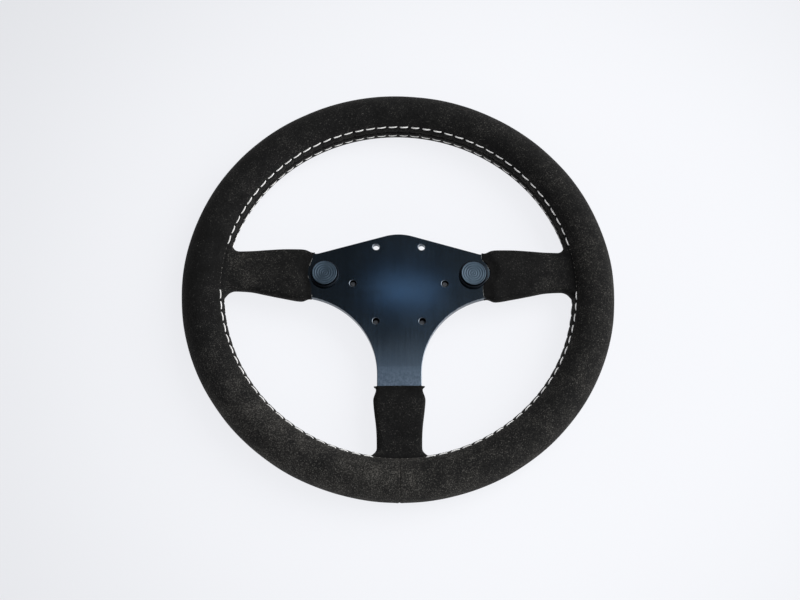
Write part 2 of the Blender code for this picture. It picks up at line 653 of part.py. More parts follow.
def make_collar(mats):
    """The sliding ring: its land holds the balls in, its ramp lets them out."""
    axis = axis_empty("collar_axis", (0, 0, 0))
    ramp_low = BALL_Z - COLLAR_TRAVEL
    ramp_r = LAND_R + RAMP * COLLAR_TRAVEL
    profile = [(ramp_r, COLLAR_BOTTOM), (COLLAR_GRIP_R - GRIP_ROUND, COLLAR_BOTTOM)]
    profile += [(COLLAR_GRIP_R, COLLAR_BOTTOM + GRIP_ROUND)]
    profile += [(COLLAR_GRIP_R, COLLAR_BOTTOM + GRIP_HIGH - GRIP_ROUND)]
    profile += [(COLLAR_GRIP_R - GRIP_ROUND, COLLAR_BOTTOM + GRIP_HIGH)]
    profile += [(COLLAR_BODY_R, COLLAR_BOTTOM + GRIP_HIGH), (COLLAR_BODY_R, COLLAR_TOP)]
    profile += [(POCKET_R, COLLAR_TOP), (POCKET_R, POCKET_Z), (LAND_R, POCKET_Z)]
    profile += [(LAND_R, BALL_Z), (ramp_r, ramp_low)]
    solid("release_collar", turned(profile, HUB_STEPS, True), mats["collar"], axis)
    coil("collar_spring", COLLAR_SPRING_R, COLLAR_WIRE_R, POCKET_Z + GAP, FLANGE_Z - GAP,
         COLLAR_SPRING_TURNS, COLLAR_SPRING_STEPS, mats["steel"])

    clip = turned([(CLIP_GROOVE_R + GAP, CLIP_Z[0]), (CLIP_OUT_R, CLIP_Z[0]),
                   (CLIP_OUT_R, CLIP_Z[1]), (CLIP_GROOVE_R + GAP, CLIP_Z[1])],
                  HUB_STEPS - 2, True, CLIP_TURN)
    solid("retaining_clip", clip, mats["black_steel"])


def make_hub_screws(mats):
    """Socket head screws from behind, through the lugs and into the plate."""
    head_top = FLANGE_Z - GAP - WASHER_THICK - GAP
    head_bottom = head_top - HUB_SCREW_HEAD_HIGH
    for number, (angle, end) in enumerate(HUB_SCREW_TIPS.items(), start=1):
        profile = [(0, head_bottom + SOCKET_DEEP), (SOCKET_R, head_bottom + SOCKET_DEEP)]
        profile += [(SOCKET_R, head_bottom), (HUB_SCREW_HEAD_R, head_bottom)]
        profile += [(HUB_SCREW_HEAD_R, head_top), (HUB_SCREW_R, head_top)]
        profile += [(HUB_SCREW_R, end - SCREW_TIP), (HUB_SCREW_R - SCREW_TIP, end), (0, end)]
        place = polar(BOLT_R, angle)
        solid(f"hub_screw_{number}", turned(profile, RIVET_STEPS, False), mats["black_steel"], place=place)
        washer = ring(HUB_SCREW_R + GAP, WASHER_R, head_top + GAP, FLANGE_Z - GAP, SMALL_STEPS)
        solid(f"hub_washer_{number}", washer, mats["steel"], place=place)


def main():
    clear_scene()
    mats = make_materials()
    make_plate(mats)
    arms = {side: arm_guide(side) for side in ("left", "right", "bottom")}
    make_rim_cover(mats, arms.values())
    make_rim_core(mats)
    make_hoop(mats)
    for side, arm in arms.items():
        make_sleeve(side, mats, arm)
    for side in ("left", "right"):
        make_button(side, mats)
    make_hub(mats)
    make_balls(mats)
    make_collar(mats)
    make_hub_screws(mats)


main()
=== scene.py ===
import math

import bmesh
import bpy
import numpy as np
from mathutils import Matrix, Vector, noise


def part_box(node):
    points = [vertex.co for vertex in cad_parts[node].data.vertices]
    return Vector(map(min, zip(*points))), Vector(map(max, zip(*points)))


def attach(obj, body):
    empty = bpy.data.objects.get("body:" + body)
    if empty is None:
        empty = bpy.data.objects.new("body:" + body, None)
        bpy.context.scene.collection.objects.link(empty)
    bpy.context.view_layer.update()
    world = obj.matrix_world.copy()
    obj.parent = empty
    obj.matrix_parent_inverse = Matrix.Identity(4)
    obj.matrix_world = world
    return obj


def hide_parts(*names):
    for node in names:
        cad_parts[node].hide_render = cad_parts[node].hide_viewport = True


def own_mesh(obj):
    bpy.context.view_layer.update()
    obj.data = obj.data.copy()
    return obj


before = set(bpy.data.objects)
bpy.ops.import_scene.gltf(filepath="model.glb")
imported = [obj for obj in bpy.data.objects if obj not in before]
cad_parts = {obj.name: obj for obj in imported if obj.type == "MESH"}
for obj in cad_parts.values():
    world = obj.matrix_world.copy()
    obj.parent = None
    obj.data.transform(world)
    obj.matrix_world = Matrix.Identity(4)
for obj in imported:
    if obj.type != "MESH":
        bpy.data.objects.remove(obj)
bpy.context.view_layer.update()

# %% [markdown]
# # A quick release steering wheel
# This script dresses a finished engineering model of a racing steering wheel. The model gives
# every size and every joint. Here each piece gets the shape and finish that the eye expects:
# napped suede, white lacing, brushed black plate, rubber buttons and turned metal behind.
# The wheel lies face up on its rim. Z points to the driver and Y to 12 o'clock.

MM = 0.001

# %% [markdown]
# ## Measures taken from the frame
# The rim, the plate and the buttons are read from the model's own boxes, so the looks follow
# the engineering model if it changes. Only what a box can't tell, such as the plate's curved
# outline, is repeated here as a few driving dimensions.

# %% Measures
rim_low, rim_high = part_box("rim_cover")
plate_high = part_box("spoke_plate")[1]
RIM_MID_Z = (rim_low.z + rim_high.z) / 2
RIM_HALF_HIGH = (rim_high.z - rim_low.z) / 2
RIM_OUT = rim_high.x
RIM_HALF_WIDE = 17 * MM
RIM_R = RIM_OUT - RIM_HALF_WIDE
PLATE_FRONT = plate_high.z
PLATE_THICK = 5 * MM
ARM_END = plate_high.x
cap_low, cap_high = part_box("button_cap_right")
BUTTON_X, BUTTON_Y = (cap_low.x + cap_high.x) / 2, (cap_low.y + cap_high.y) / 2
CAP_R = (cap_high.x - cap_low.x) / 2
CAP_TOP = cap_high.z
WELD = 0.002 * MM                   # points nearer than this are one point
print("rim radius", round(RIM_R / MM, 1), "plate front", round(PLATE_FRONT / MM, 1),
      "button", round(BUTTON_X / MM, 1), round(BUTTON_Y / MM, 1))

# %% [markdown]
# ## Small tools
# A few helpers do the repeated work: colours written as sRGB hex, one function that adds any
# shader or geometry node, two that paint mottled colour and fine grain, and functions that turn
# a profile, loft a row of loops and close a mesh so that its faces point outwards.

# %% Tools for colours and nodes
def colour(hex_text):
    """sRGB hex to the linear colour that Blender works in."""
    parts = [int(hex_text[i:i + 2], 16) / 255 for i in (1, 3, 5)]
    linear = [p / 12.92 if p <= 0.04045 else ((p + 0.055) / 1.055) ** 2.4 for p in parts]
    return (*linear, 1.0)


def add_node(tree, kind, inputs=None, stops=(), **settings):
    """One node with its settings, values and links, and the hex stops of a colour ramp.
    A socket as a value becomes a link, and a node links its first output."""
    node = tree.nodes.new(kind)
    for name, value in settings.items():
        setattr(node, name, value)
    for name, value in (inputs or {}).items():
        if isinstance(value, bpy.types.Node):
            value = value.outputs[0]
        if isinstance(value, bpy.types.NodeSocket):
            tree.links.new(value, node.inputs[name])
        else:
            node.inputs[name].default_value = value
    for i, (position, hex_text) in enumerate(stops):
        elements = node.color_ramp.elements
        element = elements[i] if i < len(elements) else elements.new(position)
        element.position, element.color = position, colour(hex_text)
    return node


def new_material(name, **values):
    """A Principled material: uniform values are set on the shader's own sockets."""
    mat = bpy.data.materials.new(name)
    mat.use_nodes = True
    tree = mat.node_tree
    shader = tree.nodes["Principled BSDF"]
    for socket, value in values.items():
        shader.inputs[socket.replace("_", " ")].default_value = value
    place = add_node(tree, "ShaderNodeTexCoord").outputs["Object"]
    return mat, tree, shader, place


def mottled(tree, shader, place, size, *stops, detail=2.0, rough=0.5):
    """Base colour that drifts between hex stops over patches of size metres."""
    spots = add_node(tree, "ShaderNodeTexNoise", {
        "Vector": place, "Scale": 1 / size, "Detail": detail, "Roughness": rough}).outputs["Fac"]
    tint = add_node(tree, "ShaderNodeValToRGB", {"Fac": spots}, stops)
    tree.links.new(tint.outputs["Color"], shader.inputs["Base Color"])
    return spots


def grained(tree, shader, place, size, depth, detail=2.0, strength=0.5):
    """Bumps of size metres across."""
    grain = add_node(tree, "ShaderNodeTexNoise", {
        "Vector": place, "Scale": 1 / size, "Detail": detail}).outputs["Fac"]
    relief = add_node(tree, "ShaderNodeBump", {
        "Height": grain, "Distance": depth, "Strength": strength})
    tree.links.new(relief.outputs["Normal"], shader.inputs["Normal"])


# %% Tools for meshes
def shown(name, data):
    """A new object in the scene."""
    obj = bpy.data.objects.new(name, data)
    bpy.context.scene.collection.objects.link(obj)
    return obj


def evaluated(obj):
    """An object's shape after its modifiers, as a bmesh."""
    bpy.context.view_layer.update()
    graph = bpy.context.evaluated_depsgraph_get()
    mesh = bpy.data.meshes.new_from_object(obj.evaluated_get(graph))
    bm = bmesh.new()
    bm.from_mesh(mesh)
    bpy.data.meshes.remove(mesh)
    return bm


def finish_mesh(name, bm, mat, smooth):
    """Weld, turn the faces outwards and shade smooth except at sharp edges."""
    bmesh.ops.remove_doubles(bm, verts=bm.verts, dist=WELD)
    bmesh.ops.recalc_face_normals(bm, faces=bm.faces)
    mesh = bpy.data.meshes.new(name)
    bm.to_mesh(mesh)
    bm.free()
    mesh.shade_smooth()
    mesh.set_sharp_from_angle(angle=math.radians(smooth))
    mesh.materials.append(mat)
    return mesh


def piece(name, bm, mat, body, slot, *nodes, smooth=30, at=(0, 0, 0)):
    """Show a bmesh as a piece that rides on a body and stands for CAD nodes."""
    obj = shown(name, finish_mesh(name, moved(bm, at), mat, smooth))
    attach(obj, body)
    if nodes:
        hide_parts(*nodes)
    return obj


def turned(profile, steps=96, closed=False, turn=2 * math.pi):
    """Spin (radius, height) points about Z. A closed profile makes a ring."""
    bm = bmesh.new()
    verts = [bm.verts.new((radius, 0, height)) for radius, height in profile]
    pairs = list(zip(verts, verts[1:])) + ([(verts[-1], verts[0])] if closed else [])
    geom = verts + [bm.edges.new(pair) for pair in pairs]
    if turn < 2 * math.pi:
        geom.append(bm.faces.new(verts))
    bmesh.ops.spin(bm, geom=geom, cent=(0, 0, 0), axis=(0, 0, 1), angle=turn, steps=steps)
    bmesh.ops.remove_doubles(bm, verts=bm.verts, dist=WELD)
    bmesh.ops.recalc_face_normals(bm, faces=bm.faces)
    return bm


def softened(points, radius, steps=4, closed=False):
    """Round each corner of a profile with a small arc."""
    out = []
    count = len(points)
    for i, corner in enumerate(points):
        if not closed and i in (0, count - 1):
            out.append(corner)
            continue
        here = Vector(corner)
        before = Vector(points[i - 1]) - here
        after = Vector(points[(i + 1) % count]) - here
        reach = min(radius, before.length * 0.45, after.length * 0.45)
        start = here + before.normalized() * reach
        end = here + after.normalized() * reach
        for k in range(steps + 1):
            t = k / steps
            out.append(tuple(start * (1 - t) ** 2 + here * 2 * t * (1 - t) + end * t * t))
    return out


def grid_mesh(rows, close_rows=False):
    """Quads between rows of closed loops, as a bmesh. Rows may close on themselves too."""
    bm = bmesh.new()
    made = [[bm.verts.new(point) for point in row] for row in rows]
    pairs = list(zip(made, made[1:])) + ([(made[-1], made[0])] if close_rows else [])
    count = len(rows[0])
    for near, far in pairs:
        for j in range(count):
            k = (j + 1) % count
            bm.faces.new((near[j], near[k], far[k], far[j]))
    return bm, made


def cut(target, tool, operation='DIFFERENCE'):
    """Boolean between two bmeshes, through throwaway objects. Returns a bmesh."""
    objects = []
    for bm in (target, tool):
        mesh = bpy.data.meshes.new("work")
        bm.to_mesh(mesh)
        bm.free()
        objects.append(shown("work", mesh))
    mod = objects[0].modifiers.new("cut", 'BOOLEAN')
    mod.operation = operation
    mod.object = objects[1]
    result = evaluated(objects[0])
    for obj in objects:
        bpy.data.meshes.remove(obj.data)
    return result


def moved(bm, place=(0, 0, 0), turn=0.0):
    matrix = Matrix.Translation(place) @ Matrix.Rotation(turn, 4, 'Z')
    bmesh.ops.transform(bm, matrix=matrix, verts=bm.verts)
    return bm


def laid_down(bm):
    """Turn a part from upright to lying along X."""
    bmesh.ops.rotate(bm, verts=bm.verts, matrix=Matrix.Rotation(math.pi / 2, 3, 'Y'))
    return bm


def extruded(points, reach):
    """A closed prism: a flat outline in space, drawn out along reach."""
    bm = bmesh.new()
    face = bm.faces.new([bm.verts.new(point) for point in points])
    far = bmesh.ops.extrude_face_region(bm, geom=[face])["geom"]
    bmesh.ops.translate(bm, verts=[v for v in far if isinstance(v, bmesh.types.BMVert)],
                        vec=reach)
    bmesh.ops.recalc_face_normals(bm, faces=bm.faces)
    return bm


def upright_prism(outline, low, high):
    return extruded([(x, y, low) for x, y in outline], (0, 0, high - low))


def hexagon(across_flats, low, high):
    radius = across_flats / 2 / math.cos(math.pi / 6)
    angles = [2 * math.pi * i / 6 for i in range(6)]
    return upright_prism([(radius * math.cos(a), radius * math.sin(a)) for a in angles], low, high)


def rectangle(inner, outer, low, high):
    return [(inner, low), (outer, low), (outer, high), (inner, high)]


def rod(radius, low, high, steps=32):
    return turned(rectangle(0, radius, low, high), steps)


def ring(inner, outer, low, high, edge, steps):
    """A turned ring with its edges rounded."""
    return turned(softened(rectangle(inner, outer, low, high), edge, 2, closed=True), steps,
                  closed=True)


# %% [markdown]
# ## Geometry Nodes in a script
# Stitches and knurls repeat along a path, so each kind is one node tree with named inputs. A
# modifier on an empty mesh runs the tree, its result becomes a plain mesh, and the modifier's
# object is thrown away.

# %% Tools for Geometry Nodes
def node_tree(name, sockets):
    """An empty tree with named inputs. Returns it with its input node's outputs."""
    tree = bpy.data.node_groups.new(name, "GeometryNodeTree")
    tree.interface.new_socket("Geometry", in_out='OUTPUT', socket_type="NodeSocketGeometry")
    for socket_name, kind, value in sockets:
        socket = tree.interface.new_socket(socket_name, in_out='INPUT', socket_type=kind)
        socket.default_value = value
    return tree, add_node(tree, "NodeGroupInput").outputs


def end_tree(tree, geometry, mat):
    """Realize, smooth, set the material and hand the geometry out."""
    real = add_node(tree, "GeometryNodeRealizeInstances", {"Geometry": geometry})
    smooth = add_node(tree, "GeometryNodeSetShadeSmooth", {"Geometry": real})
    painted = add_node(tree, "GeometryNodeSetMaterial", {"Geometry": smooth, "Material": mat})
    add_node(tree, "NodeGroupOutput", {"Geometry": painted})


def run_tree(tree, values):
    """Run a tree with the given input values and return the result as a bmesh."""
    obj = shown("run", bpy.data.meshes.new("run"))
    mod = obj.modifiers.new("run", 'NODES')
    mod.node_group = tree
    for item in tree.interface.items_tree:
        if item.in_out == 'INPUT' and item.name in values:
            mod[item.identifier] = values[item.name]
    bm = evaluated(obj)
    bpy.data.objects.remove(obj)
    return bm


def joined(parts):
    """Several bmeshes as one."""
    whole = bmesh.new()
    for part in parts:
        mesh = bpy.data.meshes.new("part")
        part.to_mesh(mesh)
        part.free()
        whole.from_mesh(mesh)
        bpy.data.meshes.remove(mesh)
    return whole


# %% [markdown]
# ## Suede
# The rim and the arms wear split leather with a raised nap. Suede has almost no gloss: short
# fibres scatter the light, glow a little where they are seen side on, and lie in patches that
# look lighter or darker after a hand has brushed them. Years of gloves leave paler, browner
# flecks. Three sizes of noise make this: patches of 14 mm, clumps of 2.2 mm and fibres of
# 0.9 mm, which is coarser than real nap so that it shows.

# %% Suede
def make_suede():
    """Base, nap and flecks. One attribute lightens it where gloves have rubbed and darkens it as
    painted shade; another darkens it where the nap is pressed flat and, as painted shade, in the
    crease at the rim.
    """
    mat, tree, shader, place = new_material(
        "black_suede_split_leather", Roughness=0.96, Specular_IOR_Level=0.18,
        Sheen_Weight=0.10, Sheen_Roughness=0.55, Sheen_Tint=colour("#8a857e"))
    wear_and_shade = add_node(tree, "ShaderNodeAttribute", attribute_name="wear_and_shade").outputs["Fac"]
    pressed_nap_and_crease_shade = add_node(tree, "ShaderNodeAttribute", attribute_name="pressed_nap_and_crease_shade").outputs["Fac"]
    patch, clump, fibre = (add_node(tree, "ShaderNodeTexNoise", {
        "Vector": place, "Scale": 1 / (size * MM), "Detail": detail, "Roughness": rough,
        "Distortion": twist}).outputs["Fac"] for size, detail, rough, twist in (
            (14, 3, 0.55, 0.4), (2.2, 3, 0.6, 0.3), (0.9, 2, 0.7, 0.0)))
    nap = add_node(tree, "ShaderNodeMix", {"Factor": 0.45, 2: patch, 3: clump})
    mixed = add_node(tree, "ShaderNodeMix", {"Factor": 0.5, 2: nap, 3: fibre})
    lighter = add_node(tree, "ShaderNodeMath", {0: wear_and_shade, 1: 0.10, 2: mixed},
                       operation='MULTIPLY_ADD')
    level = add_node(tree, "ShaderNodeMath", {0: pressed_nap_and_crease_shade, 1: -0.10, 2: lighter},
                     operation='MULTIPLY_ADD')
    base = add_node(tree, "ShaderNodeValToRGB", {"Fac": level}, (
        (0.36, "#090909"), (0.50, "#161616"), (0.62, "#282725"), (0.75, "#403e3a")))
    specks = add_node(tree, "ShaderNodeMath", {0: fibre, 1: level}, operation='MULTIPLY')
    mask = add_node(tree, "ShaderNodeMapRange", {"Value": specks, "From Min": 0.33,
                                                 "From Max": 0.45, "To Max": 0.7})
    tint = add_node(tree, "ShaderNodeMix", {"Factor": mask, 6: base,
                                            7: colour("#62605c")}, data_type='RGBA')
    tree.links.new(tint.outputs[2], shader.inputs["Base Color"])
    soft = add_node(tree, "ShaderNodeBump", {
        "Height": clump, "Distance": 0.5 * MM, "Strength": 0.5})
    fuzz = add_node(tree, "ShaderNodeBump", {
        "Height": fibre, "Distance": 0.3 * MM, "Strength": 0.8, "Normal": soft})
    tree.links.new(fuzz.outputs[0], shader.inputs["Normal"])
    return mat


def set_attribute(mesh, name, values):
    """One number for each point, for the material to read."""
    attribute = mesh.attributes.new(name, 'FLOAT', 'POINT')
    attribute.data.foreach_set("value", values)


SUEDE = make_suede()
print("material", SUEDE.name)

# %% [markdown]
# ## Rim cover
# The rim is one long strip of suede wrapped round foam and laced along the inside of the ring.
# A torus primitive has no seam, no dimples and no freedom, so the section is drawn as a formula
# instead: an oval that dips at the butted edges, sinks under each row of lacing and puckers
# where the thread goes through. The steps round the ring are eight to a stitch, so that every
# dimple falls on its own stitch.

# %% Rim shape
STITCHES = 94                       # pitch of about 9.5 mm on the inner side of the ring
STEPS_PER_STITCH = 8
STITCH_LONG = 6.9 * MM
FRONT_ROW = math.radians(27)        # section angle of each row from the inward direction
REAR_ROW = math.radians(-13)
REAR_FOLD = math.radians(-33)       # the suede bulges a little behind the rear row
SEAM_AT = math.radians(5)           # where the two edges of the suede meet
LACED = ((4, 43), (48, 68), (73, 93))   # first and last stitch between two arms
BAND_HALF, BAND_STEPS, ROUND_STEPS = math.radians(36), 30, 36
SIX_OCLOCK = -math.pi / 2
# How the suede sinks (depth, width): where its edges meet, under each row and at its holes
SEAM_SINK, SEAM_WIDE = 1.5 * MM, 0.7 * MM
ROW_SINKS, ROW_WIDE = ((FRONT_ROW, 0.42 * MM), (REAR_ROW, 0.2 * MM)), 1.1 * MM
HOLE_SINK, HOLE_WIDE, HOLE_LONG = 0.45 * MM, 1.2 * MM, 0.8 * MM
# and how it stands out: between two dashes, between the rows, and behind the rear row
PUFF, PUFF_WIDE, PUFF_LONG, PUFF_OFF = 1.1 * MM, 0.9 * MM, 0.8 * MM, 0.5 * MM
BAND_FOLD, BAND_BULGE = 0.9 * MM, 0.15 * MM
FOLD_BULGE, FOLD_WIDE = 0.8 * MM, 3 * MM
# The join across the rim at 6 o'clock is a fine groove between two low lips
JOIN_SINK, JOIN_WIDE = 0.4 * MM, 0.5 * MM
LIP_HIGH, LIP_AT, LIP_WIDE = 0.15 * MM, 1.7 * MM, 0.9 * MM
JOIN_STEPS = (0, 0.2, 0.45, 0.7, 1.0, 1.4, 1.9, 2.4)    # loops either side of it, in mm
SWELL = 0.22 * MM                   # the outer side is not quite even


def laced_here(theta):
    """1 where the lacing runs and 0 behind the three arms."""
    number = (theta * STITCHES / (2 * math.pi)) % STITCHES
    return 1.0 if any(first - 0.6 < number < last + 0.6 for first, last in LACED) else 0.0


def bell(x, width):
    return math.exp(-(x / width) ** 2)


def rim_sink(theta, alpha):
    """How far the suede lies under the plain oval. Alpha is measured from the inward side."""
    sink = SEAM_SINK * bell(RIM_HALF_WIDE * (alpha - SEAM_AT), SEAM_WIDE)
    phase = (theta * STITCHES / (2 * math.pi) + 0.5) % 1.0 - 0.5
    pitch = (RIM_R - RIM_HALF_WIDE) * 2 * math.pi / STITCHES
    from_hole = (abs(phase) - STITCH_LONG / pitch / 2 - 0.06) * pitch
    free = bell((0.5 - abs(phase)) * pitch, PUFF_LONG)      # 1 where no thread holds it down
    laced = laced_here(theta)
    for row, groove in ROW_SINKS:
        off = RIM_HALF_WIDE * (alpha - row)
        sink += laced * groove * bell(off, ROW_WIDE)
        sink += laced * HOLE_SINK * bell(off, HOLE_WIDE) * bell(from_hole, HOLE_LONG)
    sink -= laced * PUFF * free * bell(RIM_HALF_WIDE * (alpha - FRONT_ROW) + PUFF_OFF, PUFF_WIDE)
    if REAR_ROW < alpha < FRONT_ROW:
        across = math.sin(math.pi * (alpha - REAR_ROW) / (FRONT_ROW - REAR_ROW))
        sink += laced * across * (BAND_FOLD * free - BAND_BULGE)
    sink -= laced * FOLD_BULGE * bell(RIM_HALF_WIDE * (alpha - REAR_FOLD), FOLD_WIDE)
    off = ((theta - SIX_OCLOCK + math.pi) % (2 * math.pi) - math.pi) * RIM_R
    lip = LIP_HIGH * bell(abs(off) - LIP_AT, LIP_WIDE)
    return sink + JOIN_SINK * bell(off, JOIN_WIDE) - lip


def rim_point(theta, alpha):
    """A point on the rim cover: theta round the ring, alpha round the section."""
    swell = noise.noise(Vector((6 * math.cos(theta), 6 * math.sin(theta), 1.3 * math.sin(alpha))))
    depth = rim_sink(theta, alpha) - SWELL * swell * (0.5 - 0.5 * math.cos(alpha))
    radius = RIM_R - (RIM_HALF_WIDE - depth) * math.cos(alpha)
    height = RIM_MID_Z + (RIM_HALF_HIGH - depth) * math.sin(alpha)
    return Vector((radius * math.cos(theta), radius * math.sin(theta), height))


def rim_angles():
    """Round the ring: even steps, with finer ones at the join in the suede."""
    count = STITCHES * STEPS_PER_STITCH
    thetas = [2 * math.pi * i / count for i in range(count)]
    offsets = [-off for off in JOIN_STEPS[:0:-1]] + list(JOIN_STEPS)
    fine = [SIX_OCLOCK + 2 * math.pi + off * MM / RIM_R for off in offsets]
    keep = [t for t in thetas if not fine[0] - 0.002 < t < fine[-1] + 0.002]
    return sorted(keep + fine)


def section_angles():
    """Round the section: fine steps in the laced band and wide ones over the rest."""
    inner = [-BAND_HALF + 2 * BAND_HALF * i / BAND_STEPS for i in range(BAND_STEPS)]
    rest = 2 * math.pi - 2 * BAND_HALF
    return inner + [BAND_HALF + rest * i / ROUND_STEPS for i in range(ROUND_STEPS)]


# Lighter and darker stretches round the ring: (degrees round the ring, width in degrees, amount).
# The lighter ones, strongest at 6 and 7:30 o'clock, are nap rubbed by gloves; the darker ones at 9
# o'clock and near the top are painted shade.
RIM_RUB_AND_SHADE = ((270, 28, 1.2), (318, 26, 0.25), (226, 22, 1.2), (180, 22, -0.9), (0, 18, 0.3),
          (110, 50, -0.4))


def rim_wear_and_shade(point):
    degrees = math.degrees(math.atan2(point.y, point.x))
    total = 0.0
    for middle, width, amount in RIM_RUB_AND_SHADE:
        total += amount * bell((degrees - middle + 180) % 360 - 180, width)
    return total * (0.75 + 0.5 * noise.noise(point / (22 * MM)))


rows = [[rim_point(theta, alpha) for alpha in section_angles()] for theta in rim_angles()]
rim_bm, _ = grid_mesh(rows, close_rows=True)
rim = piece("rim_suede", rim_bm, SUEDE, "wheel", "suede", "rim_cover", smooth=75)
set_attribute(rim.data, "wear_and_shade", [rim_wear_and_shade(v.co) for v in rim.data.vertices])
print("rim cover:", len(rim.data.polygons), "faces")

# %% [markdown]
# ## Lacing
# A waxed thread runs along each edge of the suede in dashes about 7 mm long, then dives through
# to the other side. Each visible dash is a short bent tube with its ends under the surface. One
# tree makes a row along an arc of the ring, and it runs six times: two rows in each of the
# three spaces between the arms.

# %% Thread material
def make_thread(name, dark, light, painted_glow=0.0):
    """Waxed polyester: a soft gloss and a fine lay across the strand, grimy in places.
    A faint painted glow makes it give back a little more white than falls on it, so that it stays
    white in shade."""
    mat, tree, shader, place = new_material(
        name, Roughness=0.62, Specular_IOR_Level=0.35, Sheen_Weight=0.2,
        Emission_Color=colour("#f4f6ff"), Emission_Strength=painted_glow)
    mottled(tree, shader, place, 5 * MM, (0.35, dark), (0.62, light))
    grained(tree, shader, place, 0.3 * MM, 0.08 * MM, 1, 1.0)
    return mat


# The last value is a painted glow that keeps the white thread bright where it lies in shade
THREAD = make_thread("waxed_white_thread", "#d9d7d2", "#f8f6f2", 0.08)
SEAM_THREAD = make_thread("soiled_fine_thread", "#242423", "#8f8c86")


# %% Lacing tree
DIVE = 0.9 * MM                                 # how deep both ends of a dash go
CREST_IN, CREST_UP = 0.2 * MM, 1.25 * MM        # its handles, which make its top flat


def make_lacing_tree(mat):
    tree, given = node_tree("lacing_row", [
        ("Row Radius", "NodeSocketFloat", 0.143), ("Row Height", "NodeSocketFloat", 0.025),
        ("Section Angle", "NodeSocketFloat", 0.4), ("Start", "NodeSocketFloat", 0.0),
        ("Sweep", "NodeSocketFloat", 1.0), ("Count", "NodeSocketInt", 20),
        ("Stitch Length", "NodeSocketFloat", 0.007), ("Thread Radius", "NodeSocketFloat", 0.0006),
        ("Slant", "NodeSocketFloat", 0.05), ("Seed", "NodeSocketInt", 4)])
    arc = add_node(tree, "GeometryNodeCurveArc", {
        "Resolution": given["Count"], "Radius": given["Row Radius"],
        "Start Angle": given["Start"], "Sweep Angle": given["Sweep"]})
    points = add_node(tree, "GeometryNodeCurveToPoints", {"Curve": arc}, mode='EVALUATED')
    lift = add_node(tree, "ShaderNodeCombineXYZ", {"Z": given["Row Height"]})
    # The way out of the suede: inwards along the radius and up by the section angle
    place = add_node(tree, "GeometryNodeInputPosition")
    inwards = add_node(tree, "ShaderNodeVectorMath", {0: place}, operation='NORMALIZE')
    cosine = add_node(tree, "ShaderNodeMath", {0: given["Section Angle"]}, operation='COSINE')
    sine = add_node(tree, "ShaderNodeMath", {0: given["Section Angle"]}, operation='SINE')
    flat = add_node(tree, "ShaderNodeVectorMath", {0: inwards, "Scale": cosine}, operation='SCALE')
    upright = add_node(tree, "ShaderNodeCombineXYZ", {"Z": sine})
    outward = add_node(tree, "ShaderNodeVectorMath", {0: upright, 1: flat}, operation='SUBTRACT')
    facing = add_node(tree, "FunctionNodeAxesToRotation", {
        "Primary Axis": outward, "Secondary Axis": points.outputs["Tangent"]},
        primary_axis='Z', secondary_axis='X')
    # One dash: flat along the top, with both ends diving through the suede
    half = add_node(tree, "ShaderNodeMath", {0: given["Stitch Length"], 1: 0.5},
                    operation='MULTIPLY')
    back = add_node(tree, "ShaderNodeMath", {0: given["Stitch Length"], 1: -0.5},
                    operation='MULTIPLY')
    start = add_node(tree, "ShaderNodeCombineXYZ", {"X": back, "Z": -DIVE})
    end = add_node(tree, "ShaderNodeCombineXYZ", {"X": half, "Z": -DIVE})
    dash = add_node(tree, "GeometryNodeCurvePrimitiveBezierSegment", {
        "Resolution": 10, "Start": start, "Start Handle": (CREST_IN, 0, CREST_UP),
        "End Handle": (-CREST_IN, 0, CREST_UP), "End": end}, mode='OFFSET')
    strand = add_node(tree, "GeometryNodeCurvePrimitiveCircle", {
        "Resolution": 7, "Radius": given["Thread Radius"]})
    tube = add_node(tree, "GeometryNodeCurveToMesh", {
        "Curve": dash, "Profile Curve": strand, "Fill Caps": True})
    length = add_node(tree, "FunctionNodeRandomValue", {
        "Min": (0.92, 0.9, 0.9), "Max": (1.06, 1.1, 1.05), "Seed": given["Seed"]},
        data_type='FLOAT_VECTOR')
    copies = add_node(tree, "GeometryNodeInstanceOnPoints", {
        "Points": points.outputs["Points"], "Instance": tube,
        "Rotation": facing, "Scale": length})
    tilt = add_node(tree, "FunctionNodeRandomValue", {
        "Min": (0, 0, -0.02), "Max": (0, 0, 0.06), "Seed": given["Seed"]}, data_type='FLOAT_VECTOR')
    lean = add_node(tree, "ShaderNodeCombineXYZ", {"Z": given["Slant"]})
    both = add_node(tree, "ShaderNodeVectorMath", {0: tilt, 1: lean})
    leaning = add_node(tree, "GeometryNodeRotateInstances", {
        "Instances": copies, "Rotation": both, "Local Space": True})
    raised = add_node(tree, "GeometryNodeTranslateInstances", {
        "Instances": leaning, "Translation": lift, "Local Space": False})
    end_tree(tree, raised.outputs[0], mat)
    return tree


lacing_tree = make_lacing_tree(THREAD)


def lacing_row(section_angle, sink, spans, pitch, length, thick, slant, seed):
    """Dashes on the rim's inner side. A span is its first and last place, in stitches."""
    radius = RIM_R - (RIM_HALF_WIDE - sink) * math.cos(section_angle)
    height = RIM_MID_Z + (RIM_HALF_HIGH - sink) * math.sin(section_angle)
    step = 2 * math.pi / STITCHES
    return [run_tree(lacing_tree, {
        "Row Radius": radius, "Row Height": height, "Section Angle": section_angle,
        "Start": first * step, "Sweep": (last - first) * step,
        "Count": round((last - first) / pitch) + 1, "Stitch Length": length,
        "Thread Radius": thick, "Slant": slant, "Seed": seed}) for first, last in spans]


laces = joined(lacing_row(FRONT_ROW, 0.0, LACED, 1, STITCH_LONG, 0.54 * MM, 0.03, 4)
               + lacing_row(REAR_ROW, -0.05 * MM, LACED, 1, STITCH_LONG, 0.5 * MM, -0.03, 9))
lacing = piece("rim_lacing", laces, THREAD, "wheel", "suede", smooth=60)
print("lacing:", len(lacing.data.polygons), "faces")

